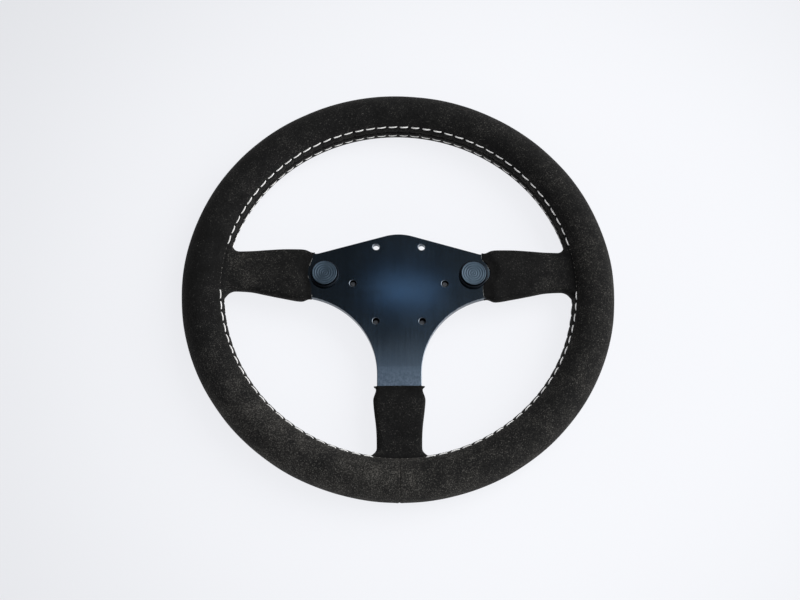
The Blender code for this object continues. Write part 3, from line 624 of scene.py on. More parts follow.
# Small stitches close the seam between each sleeve and the rim, in line with the front row
ROOT_SPANS = ((-0.2, 3.2), (43.9, 47.0), (68.9, 72.0))
roots = joined(lacing_row(FRONT_ROW + math.radians(2.5), -0.05 * MM, ROOT_SPANS, 0.42, 2.3 * MM,
                          0.14 * MM, 0.0, 6))
piece("root_stitches", roots, SEAM_THREAD, "wheel", "suede", smooth=60)

# %% [markdown]
# ## Arm sleeves
# Each arm wears a suede sleeve over thin padding, pressed flat and glued at its inner end and
# flared where it is sewn to the rim. A plain tube would look like pipe lagging, so every sleeve
# is a loft of rounded loops: the outline comes from a few widths along the arm, the inner end
# is cut round the button, and the outer end lands on the rim's own surface. A short cloth
# simulation with a little pressure then lets the skin crown and pull between its fixed ends.

# %% Arm measures
BEND_START, BEND_END = 71 * MM, 146 * MM
BEND_SLOPE = math.tan(math.radians(4))


def arm_mid_z(distance):
    """Height of the middle of the plate's thickness: the arms are bent back towards the rim."""
    drop = BEND_SLOPE * max(0.0, min(distance, BEND_END) - BEND_START)
    return PLATE_FRONT - PLATE_THICK / 2 - drop


def along(points, x):
    """Smooth interpolation through (x, value) points, flat in slope at the ends."""
    xs = [p[0] for p in points]
    if x <= xs[0]:
        return points[0][1]
    if x >= xs[-1]:
        return points[-1][1]
    i = max(k for k in range(len(xs) - 1) if xs[k] <= x)
    span = xs[i + 1] - xs[i]
    slopes = []
    for k in (i, i + 1):
        a, b = points[max(k - 1, 0)], points[min(k + 1, len(points) - 1)]
        slopes.append((b[1] - a[1]) / (b[0] - a[0]) * span)
    t = (x - xs[i]) / span
    p0, p1 = points[i][1], points[i + 1][1]
    return ((2 * t ** 3 - 3 * t * t + 1) * p0 + (t ** 3 - 2 * t * t + t) * slopes[0]
            + (3 * t * t - 2 * t ** 3) * p1 + (t ** 3 - t * t) * slopes[1])


# Outline of each sleeve in mm: (distance from the wheel's axis, place across the arm)
SIDE_TOP = ((66, 27.0), (70.5, 27.3), (75, 29.4), (83, 30.2), (95, 30.6), (108, 30.2),
            (122, 29.6), (145, 29.8))
SIDE_UNDER = ((66, -12.6), (70.5, -12.8), (76, -14.5), (94, -11.2), (106, -8.5), (120, -5.4),
              (145, -3.8))
LOWER_HALF = ((83.5, 18.3), (88.5, 18.3), (95, 20.3), (100.5, 20.1), (108, 19.3), (117, 18.2),
              (127, 17.6), (145, 17.6))
# Where the suede ends: (place across the arm, distance from the wheel's axis)
LEFT_END = ((-14, 70.0), (-2, 70.6), (3, 72.6), (9, 73.4), (16, 72.2), (27, 68.2))
RIGHT_END = ((-14, 68.4), (-1, 68.2), (4, 71.8), (11, 73.6), (17, 71.2), (21, 67.8), (27, 67.4))
LOWER_END = ((-18, 85.0), (18, 85.3))
# The last value of each sleeve shifts its suede's tone: the right sleeve is painted much darker than
# the left, as painted shade against the stronger light from the right
SLEEVES = {
    "left": {"low": SIDE_UNDER, "high": SIDE_TOP, "end": LEFT_END, "fillets": (9.5, 8.5),
             "worn_and_shaded": -0.05},
    "right": {"low": SIDE_UNDER, "high": SIDE_TOP, "end": RIGHT_END, "fillets": (9.5, 8.5),
              "worn_and_shaded": -0.45},
    "bottom": {"low": tuple((d, -h) for d, h in LOWER_HALF), "high": LOWER_HALF,
               "end": LOWER_END, "fillets": (6.5, 6.5), "worn_and_shaded": -0.3},
}


# %% Sleeve loft
FACE_STEPS, CORNER_STEPS, SIDE_STEPS = 30, 6, 3
# Thickness over the plate in mm: (distance from the inner end, thickness)
PADDING = ((0, 0.95), (4.5, 1.05), (8.5, 2.5), (12, 2.75), (20, 2.5), (60, 2.4))
# Where its loops lie, from 0 at the inner end to 1 at the rim: closer together near both ends
SLEEVE_STEPS = [0, 0.008, 0.02, 0.04, 0.065, 0.09] + [0.115 + 0.033 * i for i in range(21)]
SLEEVE_STEPS += [0.835 + 0.0165 * i for i in range(10)] + [0.995, 1.0]
JOIN_LONG = 7 * MM                  # the last part of a sleeve spreads to the laced band's height
RIM_OVERLAP = 0.35 * MM
# The cut end stands out in two small ears at its corners and frays a little (height, reach) in mm
LOWER_EAR, SIDE_EAR, FRAY = (2.0, 1.1), (0.5, 0.9), (0.45, 1.5)


def rounded_loop(low, high, half, corner, crown):
    """A rounded rectangle as (across, up) points: front face, side, back face, side."""
    points = []

    def run(start, end, steps):
        for i in range(steps):
            t = i / steps
            points.append((start[0] + (end[0] - start[0]) * t, start[1] + (end[1] - start[1]) * t))

    def bend(centre, start_angle):
        for i in range(CORNER_STEPS):
            a = start_angle - math.pi / 2 * i / CORNER_STEPS
            points.append((centre[0] + corner * math.cos(a), centre[1] + corner * math.sin(a)))

    run((low + corner, half), (high - corner, half), FACE_STEPS)
    bend((high - corner, half - corner), math.pi / 2)
    run((high, half - corner), (high, corner - half), SIDE_STEPS)
    bend((high - corner, corner - half), 0.0)
    run((high - corner, -half), (low + corner, -half), FACE_STEPS)
    bend((low + corner, corner - half), -math.pi / 2)
    run((low, corner - half), (low, half - corner), SIDE_STEPS)
    bend((low + corner, half - corner), -math.pi)
    middle, reach = (low + high) / 2, (high - low) / 2
    swell = [max(0.0, 1 - ((q - middle) / reach) ** 2) for q, _ in points]
    return [(q, w * (1 + crown * s / half)) for (q, w), s in zip(points, swell)]


def rim_inside(across, height):
    """Distance from the wheel's axis, along an arm, to the rim's inner surface."""
    up = max(-0.98, min(0.98, (height - RIM_MID_Z) / RIM_HALF_HIGH))
    radius = RIM_R - RIM_HALF_WIDE * math.sqrt(1 - up * up)
    return math.sqrt(max(radius ** 2 - across ** 2, 0.0))


def fillet(radius, gap):
    """How far a round fillet stands out at a gap from the surface it runs into."""
    if gap >= radius:
        return 0.0
    return radius - math.sqrt(radius ** 2 - (radius - gap) ** 2)


def sleeve_rows(side):
    """Loops of points from the sleeve's inner end to the rim."""
    shape = SLEEVES[side]
    front_up = RIM_HALF_HIGH * math.sin(FRONT_ROW)
    rear_down = RIM_HALF_HIGH * math.sin(REAR_ROW)
    end_half, end_mid = (front_up - rear_down) / 2, RIM_MID_Z + (front_up + rear_down) / 2
    start = min(d for _, d in shape["end"]) * MM
    finish = RIM_R - RIM_HALF_WIDE
    whole = finish - start
    rows = []
    for f in SLEEVE_STEPS:
        distance = start + whole * f
        gap = whole * (1 - f)
        low_fillet, high_fillet = (r * MM for r in shape["fillets"])
        low = along(shape["low"], distance / MM) * MM - fillet(low_fillet, gap)
        high = along(shape["high"], distance / MM) * MM + fillet(high_fillet, gap)
        from_start = whole * f / MM
        padding = along(PADDING, from_start)
        ear_out, ear_long = LOWER_EAR if side == "bottom" else SIDE_EAR
        ears = ear_out * bell(from_start, ear_long)
        half = PLATE_THICK / 2 + padding * MM
        near = min(1.0, gap / JOIN_LONG)
        blend = (1 - near) ** 2
        half = half * (1 - blend) + end_half * blend
        middle = arm_mid_z(distance) * (1 - blend) + end_mid * blend
        corner = min(half * 0.92, (2.4 + 1.6 * min(1.0, from_start / 8)) * MM)
        crown = 0.45 * MM * min(1.0, from_start / 10) * near
        row = []
        for across, up in rounded_loop(low, high, half, corner, crown):
            inner = along(shape["end"], across / MM) * MM
            height = middle + up
            edge = min(1.0, max(0.0, abs(across - (low + high) / 2) / ((high - low) / 2) - 0.9) * 10)
            lip = math.copysign(ears * MM * edge * edge, across - (low + high) / 2)
            ragged = noise.noise(Vector((across / MM * 0.9, up / MM, 7.0)))
            fray = ragged * FRAY[0] * MM * bell(from_start, FRAY[1])
            outer = rim_inside(across, height) + 1.1 * MM * bell(gap, 0.8 * MM) - RIM_OVERLAP
            d = inner + (outer - inner) * f + fray
            row.append((d, across + lip, height))
        rows.append(row)
    return rows


def to_world(side, point):
    d, across, height = point
    if side == "bottom":
        return Vector((-across, -d, height))
    return Vector((d if side == "right" else -d, across, height))


def close_ends(bm, made):
    """Close each end of a loft with quads between its front and its back face."""
    count = len(made[0])
    side = CORNER_STEPS * 2 + SIDE_STEPS
    for row in (made[0], made[-1]):
        front = [row[i] for i in range(FACE_STEPS + 1)]
        back = [row[(2 * FACE_STEPS + side - i) % count] for i in range(FACE_STEPS + 1)]
        for a, b, c, d in zip(front, front[1:], back[1:], back):
            bm.faces.new((a, b, c, d))
        right = [row[FACE_STEPS + i] for i in range(side + 1)]
        left = [row[(2 * FACE_STEPS + side + i) % count] for i in range(side + 1)]
        bm.faces.new(right)
        bm.faces.new(left)


CLOTH_FRAMES, CLOTH_REACH = 14, 1.1 * MM
CLOTH = {"quality": 6, "mass": 0.25, "tension_stiffness": 12, "compression_stiffness": 8,
         "bending_stiffness": 0.4, "vertex_group_mass": "pins", "pin_stiffness": 0.6,
         "use_pressure": True, "uniform_pressure_force": 5.0}


def crown_by_cloth(obj, rows, per_row):
    """Blow the skin up a little between its two fixed ends, as padding does, and keep it."""
    pins = obj.vertex_groups.new(name="pins")
    last = rows - 1
    for i in range(rows * per_row):
        row = i // per_row
        hold = max(0.0, 1 - row / 5) if row < 5 else max(0.0, 1 - (last - row) / 9)
        pins.add([i], max(hold, 0.25), 'REPLACE')
    before = [v.co.copy() for v in obj.data.vertices]
    cloth = obj.modifiers.new("padding", 'CLOTH')
    for setting, value in CLOTH.items():
        setattr(cloth.settings, setting, value)
    cloth.settings.effector_weights.gravity = 0.0
    scene = bpy.context.scene
    for number in range(1, CLOTH_FRAMES + 1):
        scene.frame_set(number)
    graph = bpy.context.evaluated_depsgraph_get()
    after = [v.co.copy() for v in obj.evaluated_get(graph).to_mesh().vertices]
    obj.modifiers.remove(cloth)
    scene.frame_set(1)
    largest = 0.0
    for vert, old, new in zip(obj.data.vertices, before, after):
        shift = new - old
        if shift.length > CLOTH_REACH:
            shift *= CLOTH_REACH / shift.length
        largest = max(largest, shift.length)
        vert.co = old + shift
    obj.vertex_groups.clear()
    return largest


def make_sleeve(side):
    rows = sleeve_rows(side)
    loops = [[to_world(side, p) for p in row] for row in rows]
    bm, made = grid_mesh(loops)
    close_ends(bm, made)
    bmesh.ops.recalc_face_normals(bm, faces=bm.faces)
    mesh = bpy.data.meshes.new(f"sleeve_{side}")
    bm.to_mesh(mesh)
    bm.free()
    mesh.materials.append(SUEDE)
    obj = shown(f"sleeve_{side}", mesh)
    print(f"sleeve {side}: cloth moved it up to",
          round(crown_by_cloth(obj, len(loops), len(loops[0])) / MM, 2), "mm")
    starts = [min(p[0] for p in row) for row in rows]
    pressed_and_shaded, worn_and_shaded = [], []
    for row_start in starts:
        from_start = (row_start - starts[0]) / MM
        to_rim = (starts[-1] - row_start) / MM
        # Darker at the glued inner end, where the nap is pressed flat, and painted shade in the
        # crease where the sleeve meets the rim
        pressed_and_shaded += [max(bell(from_start, 6.2), 0.8 * bell(to_rim, 1.6))] * len(loops[0])
        worn_and_shaded += [SLEEVES[side]["worn_and_shaded"] + 0.5 * bell(to_rim - 14, 16) * (side != "bottom")
                 ] * len(loops[0])
    set_attribute(obj.data, "pressed_nap_and_crease_shade", pressed_and_shaded)
    set_attribute(obj.data, "wear_and_shade", worn_and_shaded)
    subdivision = obj.modifiers.new("smooth", 'SUBSURF')
    subdivision.levels = subdivision.render_levels = 1
    obj.data.shade_smooth()
    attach(obj, "wheel")
    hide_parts(f"spoke_sleeve_{side}")
    return obj


sleeves = {side: make_sleeve(side) for side in SLEEVES}
print("sleeves:", [len(s.data.polygons) for s in sleeves.values()])


# %% Dried glue along the cut ends
def make_glue():
    """Contact cement that has squeezed out and dried: milky and dull."""
    mat, tree, shader, place = new_material("dried_contact_cement", Roughness=0.7)
    mottled(tree, shader, place, 1.2 * MM, (0.35, "#4a4a49"), (0.65, "#a9a8a4"))
    return mat


def tube(points, radius, sides=6):
    """A thin round tube along a row of points, tapered at both ends."""
    rows = []
    for i, point in enumerate(points):
        ahead = (points[min(i + 1, len(points) - 1)] - points[max(i - 1, 0)]).normalized()
        side_way = ahead.cross(Vector((0, 0, 1))).normalized()
        up_way = side_way.cross(ahead)
        size = radius * (0.35 if i in (0, len(points) - 1) else 1.0)
        rows.append([point + (side_way * math.cos(a) + up_way * math.sin(a)) * size
                     for a in (2 * math.pi * k / sides for k in range(sides))])
    bm, made = grid_mesh(rows)
    bm.faces.new(made[0])
    bm.faces.new(made[-1])
    return bm


GLUE_RUNS = (("right", RIGHT_END, ((-12.5, -1.5), (0.5, 5.5), (11.5, 17.0), (19.0, 25.5))),
             ("left", LEFT_END, ((4.0, 6.5), (15.0, 21.5), (-12.0, -10.0))))
beads = []
for side, ends, runs in GLUE_RUNS:
    for start, end in runs:
        path = []
        for i in range(17):
            across = start + (end - start) * i / 16
            wobble = 0.12 * noise.noise(Vector((across * 1.7, start, 3.0)))
            distance = (along(ends, across) - 0.25 + wobble) * MM
            height = PLATE_FRONT + 0.08 * MM - BEND_SLOPE * max(0.0, distance - BEND_START)
            path.append(to_world(side, (distance, across * MM, height)))
        beads.append(tube(path, 0.2 * MM))
piece("glue_beads", joined(beads), make_glue(), "wheel", "suede", smooth=60)
print("glue:", len(beads), "runs")

# %% [markdown]
# ## Spoke plate
# One 5 mm sheet of aluminium carries everything. It is sawn to a tapering T, its holes are
# drilled, its edges are broken with a small chamfer, it is brushed from top to bottom and then
# anodised black, and its arms are folded back four degrees. A filled 2D curve is the natural
# tool: the outline and the holes are its splines and the bevel is the chamfer. The fold comes
# afterwards, as a shift of the mesh's points.

# %% Brushed anodised aluminium
def make_brushed(name, dark, light, rough, grain_mm=0.45, long_mm=40):
    """Dyed oxide over brushed metal: a blue-black mirror blurred by fine lines along Y.
    Real lines are 0.05 mm apart, drawn at 0.45 mm so that they show."""
    mat, tree, shader, place = new_material(name, Metallic=1.0, Roughness=rough)
    lines_at = add_node(tree, "ShaderNodeMapping", {
        "Vector": place, "Scale": (1, grain_mm / long_mm, 1)})
    lines, cloudy, scuffs = (add_node(tree, "ShaderNodeTexNoise", {
        "Vector": where, "Scale": 1 / (size * MM), "Detail": detail, "Roughness": fine
        }).outputs["Fac"] for where, size, detail, fine in (
            (lines_at, grain_mm, 2, 0.6), (place, 45, 2, 0.5), (place, 2.5, 4, 0.7)))
    blend = add_node(tree, "ShaderNodeMix", {"Factor": 0.5, 2: lines, 3: cloudy})
    even = add_node(tree, "ShaderNodeValToRGB", {"Fac": blend}, ((0.38, dark), (0.62, light)))
    # Handling has dulled the lower arm next to its sleeve. Its colour also turns a lighter blue-grey
    # in patches from just above the fold towards the sleeve: partly scuffs, partly a painted
    # highlight on the folded arm.
    height = add_node(tree, "ShaderNodeSeparateXYZ", {"Vector": place}).outputs["Y"]
    near = add_node(tree, "ShaderNodeMapRange", {
        "Value": height, "From Min": -0.066, "From Max": -0.084, "To Min": 0.0, "To Max": 1.0})
    scuffed = add_node(tree, "ShaderNodeMapRange", {"Value": scuffs, "From Min": 0.42,
                                                    "From Max": 0.66, "To Max": 0.45})
    amount = add_node(tree, "ShaderNodeMath", {0: near, 1: scuffed}, operation='MULTIPLY')
    tint = add_node(tree, "ShaderNodeMix", {"Factor": amount, 6: even,
                                            7: colour("#6d7885")}, data_type='RGBA')
    tree.links.new(tint.outputs[2], shader.inputs["Base Color"])
    uneven = add_node(tree, "ShaderNodeMapRange", {
        "Value": blend, "From Min": 0.3, "From Max": 0.7,
        "To Min": rough - 0.03, "To Max": rough + 0.03})
    dulled = add_node(tree, "ShaderNodeMath", {0: amount, 1: 0.2, 2: uneven},
                      operation='MULTIPLY_ADD')
    tree.links.new(dulled.outputs[0], shader.inputs["Roughness"])
    relief = add_node(tree, "ShaderNodeBump", {
        "Height": lines, "Distance": 0.016 * MM, "Strength": 0.5})
    tree.links.new(relief.outputs[0], shader.inputs["Normal"])
    return mat


PLATE_FINISH = make_brushed("brushed_black_anodised_aluminium", "#3a454f", "#455059", 0.12)

# %% Metals and plastics
def make_metal(name, dark, light, rough, grain, metallic=1.0, lathe=False, **more):
    """A metal whose surface varies over grain mm. A lathe leaves rings about the part's axis."""
    mat, tree, shader, place = new_material(name, Metallic=metallic, Roughness=rough, **more)
    spots = mottled(tree, shader, place, grain * MM, (0.35, dark), (0.65, light), detail=3,
                    rough=0.6)
    uneven = add_node(tree, "ShaderNodeMapRange", {
        "Value": spots, "From Min": 0.3, "From Max": 0.7, "To Min": rough - 0.06,
        "To Max": rough + 0.08})
    tree.links.new(uneven.outputs[0], shader.inputs["Roughness"])
    if lathe:
        wave = add_node(tree, "ShaderNodeTexWave", {
            "Vector": place, "Scale": 1 / (6.28 * 0.5 * MM), "Distortion": 0.6},
            wave_type='RINGS', rings_direction='Z')
        rings = add_node(tree, "ShaderNodeBump", {
            "Height": wave.outputs["Fac"], "Distance": 0.03 * MM, "Strength": 0.5})
        tree.links.new(rings.outputs[0], shader.inputs["Normal"])
    else:
        grained(tree, shader, place, grain * 0.15 * MM, 0.02 * MM)
    return mat


# The chamfers along the sheet's edges take a lighter grey metal: a painted highlight where the edges
# catch the light
CHAMFER_HIGHLIGHT_FINISH = make_metal("chamfer_painted_highlight_aluminium", "#5d656e", "#828a93", 0.3, 4)

# %% Plate outline
APEX_Y, APEX_ROUND, TOP_SLOPE = 45 * MM, 40 * MM, math.radians(15.9)
SHOULDER_X = 66 * MM
HOLLOW_R, HOLLOW_X, HOLLOW_Y = 65 * MM, 82.5 * MM, -76 * MM
UNDER_SLOPE = math.radians(10)
LOWER_ARM_HALF, LOWER_TIP_HALF = HOLLOW_X - HOLLOW_R, 14.5 * MM
LOWER_TAPER = (88 * MM, 141 * MM)
BOLT_CIRCLE_R, BOLT_HOLE_R, BUTTON_HOLE_R = 37 * MM, 2.7 * MM, 8.3 * MM
RIVET_HOLE_R = 2.5 * MM
CHAMFER = 0.42 * MM
FOLD_REACH = 1.4 * MM               # the fold is spread over this much either side of its line


def arc(centre, radius, start, end, steps):
    angles = [start + (end - start) * i / steps for i in range(steps + 1)]
    return [(centre[0] + radius * math.cos(a), centre[1] + radius * math.sin(a)) for a in angles]


def plate_outline():
    apex = (0, APEX_Y - APEX_ROUND / math.cos(TOP_SLOPE))
    right = arc(apex, APEX_ROUND, math.pi / 2, math.pi / 2 - TOP_SLOPE, 10)
    shoulder_y = APEX_Y - SHOULDER_X * math.tan(TOP_SLOPE)
    right += arc((SHOULDER_X + 1.1 * MM, shoulder_y + 7.7 * MM), 8 * MM,
                 -math.pi / 2 - TOP_SLOPE, -math.pi / 2, 4)
    under_x = HOLLOW_X - HOLLOW_R * math.sin(UNDER_SLOPE)
    under_y = HOLLOW_Y + HOLLOW_R * math.cos(UNDER_SLOPE)
    end_y = under_y + (ARM_END - under_x) * math.tan(UNDER_SLOPE)
    right += [(ARM_END, shoulder_y), (ARM_END, end_y)]
    right += arc((HOLLOW_X, HOLLOW_Y), HOLLOW_R, math.pi / 2 + UNDER_SLOPE, math.pi, 40)
    right += [(LOWER_ARM_HALF, -LOWER_TAPER[0]), (LOWER_TIP_HALF, -LOWER_TAPER[1]),
              (LOWER_TIP_HALF, -ARM_END)]
    return right + [(-x, y) for x, y in reversed(right[1:])]


def plate_holes():
    """(x, y, radius) of every hole."""
    holes = [(BOLT_CIRCLE_R * math.cos(a), BOLT_CIRCLE_R * math.sin(a), BOLT_HOLE_R)
             for a in (math.radians(60 * i) for i in range(6))]
    holes += [(s * BUTTON_X, BUTTON_Y, BUTTON_HOLE_R) for s in (-1, 1)]
    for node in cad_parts:
        if node.startswith("hoop_rivet"):
            low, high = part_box(node)
            holes.append(((low.x + high.x) / 2, (low.y + high.y) / 2, RIVET_HOLE_R))
    return holes


# %% Plate
def smooth_drop(distance):
    """The fold: straight before and after, rounded in between."""
    off = distance - BEND_START
    if off <= -FOLD_REACH:
        return 0.0
    if off >= FOLD_REACH:
        return BEND_SLOPE * (min(distance, BEND_END) - BEND_START)
    return BEND_SLOPE * (off + FOLD_REACH) ** 2 / (4 * FOLD_REACH)


def make_plate():
    curve = bpy.data.curves.new("plate_outline", 'CURVE')
    curve.dimensions = '2D'
    curve.fill_mode = 'BOTH'
    curve.extrude = PLATE_THICK / 2 - CHAMFER
    curve.bevel_depth = CHAMFER
    curve.bevel_resolution = 1
    curve.offset = -CHAMFER
    outlines = [plate_outline()]
    for x, y, radius in plate_holes():
        outlines.append(arc((x, y), radius, 2 * math.pi, 2 * math.pi / 48, 47))
    for outline in outlines:
        spline = curve.splines.new('POLY')
        spline.points.add(len(outline) - 1)
        for point, (x, y) in zip(spline.points, outline):
            point.co = (x, y, 0, 1)
        spline.use_cyclic_u = True
    obj = shown("plate_outline", curve)
    bm = bmesh.new()
    bm.from_mesh(obj.to_mesh())
    bpy.data.objects.remove(obj)
    bmesh.ops.remove_doubles(bm, verts=bm.verts, dist=WELD)
    bmesh.ops.translate(bm, verts=bm.verts, vec=(0, 0, PLATE_FRONT - PLATE_THICK / 2))
    folds = [BEND_START + off * FOLD_REACH for off in (-1.0, -0.6, -0.2, 0.2, 0.6, 1.0)]
    for distance in folds + [BEND_END]:
        for arm in ((1, 0, 0), (-1, 0, 0), (0, -1, 0)):
            bmesh.ops.bisect_plane(bm, geom=bm.verts[:] + bm.edges[:] + bm.faces[:], dist=1e-7,
                                   plane_co=Vector(arm) * distance, plane_no=arm)
    for vert in bm.verts:
        vert.co.z -= smooth_drop(max(abs(vert.co.x), -vert.co.y))
    obj = piece("plate", bm, PLATE_FINISH, "wheel", "black_anodised_plate", "spoke_plate", smooth=12)
    obj.data.materials.append(CHAMFER_HIGHLIGHT_FINISH)
    # Chamfer faces get the lighter grey metal, a painted highlight along the edges
    for face in obj.data.polygons:
        if 0.1 < abs(face.normal.z) < 0.98:     # neither flat nor upright, so a chamfer
            face.material_index = 1
    return obj


plate = make_plate()
print("plate:", len(plate.data.polygons), "faces")

# %% [markdown]
# ## Push buttons
# Each button is a turned cap that slides in a threaded bush. The cap has fine lathe rings on
# its face, which give it the look of a small record. The bush's collar stands round it as a
# dark bezel, and a nut behind the plate holds it. Turned parts are profiles spun about Z; the
# thread is a real helix, made by letting the radius follow both the height and the angle.

# %% Turned metals
# A dark dyed oxide: soft gloss with faint rings left by the lathe
HUB_FINISH = make_metal("hard_anodised_turned_aluminium", "#25272b", "#34373c", 0.34, 6,
                        lathe=True)
# A deep red dye over rings that catch the light as fine arcs
COLLAR_FINISH = make_metal("red_anodised_turned_aluminium", "#8e1a1c", "#a42425", 0.30, 8,
                           lathe=True)
# A pale, slightly cloudy coat that is brighter than bare steel
ZINC = make_metal("bright_zinc_plated_steel", "#a9abae", "#c9cbce", 0.32, 3)
# A dull charcoal coat that holds oil
SPRING_STEEL = make_metal("phosphated_spring_steel", "#2b2b2c", "#434344", 0.42, 2)
# A near mirror
BALL_STEEL = make_metal("polished_bearing_steel", "#b4b5b8", "#d2d3d6", 0.12, 2)
# A thin brown-black film with steel showing through
BLACK_OXIDE = make_metal("black_oxide_steel", "#47484a", "#606163", 0.36, 2)
# Warm yellow with the streaks of the rolling mill
BRASS = make_metal("rolled_contact_brass", "#b08d4a", "#cfae68", 0.30, 3)
# Soft grey with wide cloudy patches
BARE = make_metal("mill_finish_aluminium", "#a8abb0", "#c4c6ca", 0.42, 12)
# Almost black, with an even satin sheen
BEZEL = make_metal("satin_black_anodised_bezel", "#1a1d21", "#272b31", 0.38, 4)
# A faded blue-grey dye, matt from fingertips
CAP_FINISH = make_metal("blue_grey_anodised_cap", "#46535e", "#51606c", 0.36, 9)


def make_plastic(name, dark, light, rough, grain):
    """Moulded plastic: a fine spark-eroded grain from the tool and a faint mottling."""
    mat, tree, shader, place = new_material(name, Roughness=rough)
    mottled(tree, shader, place, 4 * MM, (0.3, dark), (0.7, light))
    grained(tree, shader, place, grain * MM, 0.05 * MM)
    return mat


# Hard, dark and slightly shiny; and open-celled foam that scatters all light
SWITCH_PLASTIC = make_plastic("moulded_black_phenolic", "#161616", "#222221", 0.5, 0.4)
FOAM = make_plastic("moulded_polyurethane_foam", "#2c2c2b", "#3d3c3a", 0.9, 0.9)
print("materials:", len(bpy.data.materials))


# %% Thread and coil
def threaded(radius, depth, pitch, low, high, sides=40, tip=0.5 * MM):
    """A closed threaded rod. The radius follows the helix and tapers at both ends."""
    steps = max(4, round((high - low) / pitch * 8))
    rows = []
    for i in range(steps + 1):
        z = low + (high - low) * i / steps
        ends = min(1.0, min(z - low, high - z) / tip)
        row = []
        for j in range(sides):
            turn = (z / pitch - j / sides) % 1.0
            cut_in = depth * min(1.0, abs(turn - 0.5) * 2.6)
            r = radius - depth + (depth - cut_in) * ends - depth * 0.6 * (1 - ends)
            angle = 2 * math.pi * j / sides
            row.append((r * math.cos(angle), r * math.sin(angle), z))
        rows.append(row)
    bm, made = grid_mesh(rows)
    bm.faces.new(made[0])
    bm.faces.new(made[-1])
    bmesh.ops.recalc_face_normals(bm, faces=bm.faces)
    return bm


def make_coil_tree(mat):
    tree, given = node_tree("coil_spring", [
        ("Turns", "NodeSocketFloat", 4.0), ("Radius", "NodeSocketFloat", 0.005),
        ("Height", "NodeSocketFloat", 0.01), ("Wire Radius", "NodeSocketFloat", 0.0004)])
    spiral = add_node(tree, "GeometryNodeCurveSpiral", {
        "Resolution": 36, "Rotations": given["Turns"], "Start Radius": given["Radius"],
        "End Radius": given["Radius"], "Height": given["Height"]})
    wire = add_node(tree, "GeometryNodeCurvePrimitiveCircle", {
        "Resolution": 10, "Radius": given["Wire Radius"]})
    tube = add_node(tree, "GeometryNodeCurveToMesh", {
        "Curve": spiral, "Profile Curve": wire, "Fill Caps": True})
    end_tree(tree, tube.outputs[0], mat)
    return tree


coil_tree = make_coil_tree(SPRING_STEEL)


def coil(radius, wire, low, high, turns):
    """A spring of even pitch between two heights."""
    gap = high - low - 2 * wire
    whole = run_tree(coil_tree, {"Turns": float(turns), "Radius": radius,
                                 "Height": gap, "Wire Radius": wire})
    return moved(whole, (0, 0, low + wire))


# %% Buttons
STEM_R, PIN_R, PRESS_TRAVEL = 3 * MM, 1.5 * MM, 1.5 * MM
CAP_THICK, CAP_EDGE = 2 * MM, 1.1 * MM
RING_PITCH, RING_DEEP, DISH_DEEP = 1.9 * MM, 0.11 * MM, 0.28 * MM
NUT_FLATS, NUT_BORE, CAP_SPRING_R, CAP_WIRE = 19 * MM, 8.3 * MM, 5 * MM, 0.4 * MM
BRIDGE_IN, BRIDGE_OUT = 1.8 * MM, 5.5 * MM
SWITCH_OUT, SWITCH_IN, SWITCH_FLOOR = 8 * MM, 6.8 * MM, 1.5 * MM
SLIT_AT, SLIT_SIZE = 4 * MM, (1.2 * MM, 3.4 * MM, 4 * MM)       # where the tags come through


def cap_profile():
    """Half section of the cap: a dished face with lathe rings, a rounded rim, then the stem."""
    top, thick = CAP_TOP, CAP_THICK
    face = []
    for i in range(57):
        r = (CAP_R - CAP_EDGE) * i / 56
        ridge = RING_DEEP * (0.5 - 0.5 * math.cos(2 * math.pi * r / RING_PITCH))
        dish = DISH_DEEP * (1 - (r / CAP_R) ** 2)
        face.append((r, top - dish - ridge * min(1.0, r / (1 * MM))))
    edge = softened([(CAP_R - CAP_EDGE, top), (CAP_R, top), (CAP_R, top - thick),
                     (STEM_R, top - thick)], 0.5 * MM)
    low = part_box("button_cap_right")[0].z
    shoulder = low + 1.7 * MM
    stem = softened([(STEM_R, top - thick - 0.5 * MM), (STEM_R, shoulder), (PIN_R, shoulder),
                     (PIN_R, low), (0, low)], 0.2 * MM, 2)
    return face + edge[1:] + stem


def bezel_profile():
    """Half section of the bush: bezel, threaded body, bore and the shelf under the spring."""
    low, high = (corner.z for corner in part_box("button_bush_right"))
    outer, inner, bore, body_r, stem_hole = 11.5 * MM, 10.3 * MM, 7 * MM, 8 * MM, 3.3 * MM
    seat, floor_top = PLATE_FRONT + 0.05 * MM, PLATE_FRONT + 1.2 * MM
    shelf, ridge_deep, ridge_step = 1.5 * MM, 0.45 * MM, 0.5 * MM
    bezel = softened([(body_r, seat), (outer, seat), (outer, high), (inner, high),
                      (inner, floor_top), (bore, floor_top)], 0.45 * MM, 4)
    body = [(bore, low + shelf), (stem_hole, low + shelf), (stem_hole, low),
            (body_r - 0.4 * MM, low)]
    count = int((seat - low - 1.5 * MM) / ridge_step)
    ridges = [(body_r - (ridge_deep if i % 2 == 0 else 0.0), low + 0.6 * MM + ridge_step * i)
              for i in range(count)]
    return bezel + body + ridges


def hexagon_nut(flats, low, high, bore):
    """A hexagon whose corners a lathe has turned off at 30 degrees."""
    corner = flats / 2 / math.cos(math.pi / 6)
    slope = (corner - flats / 2) * 0.6
    lens = turned([(0, low - 1 * MM), (flats / 2 - 1 * MM, low), (corner, low + slope),
                   (corner, high - slope), (flats / 2 - 1 * MM, high), (0, high + 1 * MM)], 48)
    nut = cut(hexagon(flats, low, high), lens, 'INTERSECT')
    return cut(nut, rod(bore, low - 1 * MM, high + 1 * MM, 48))


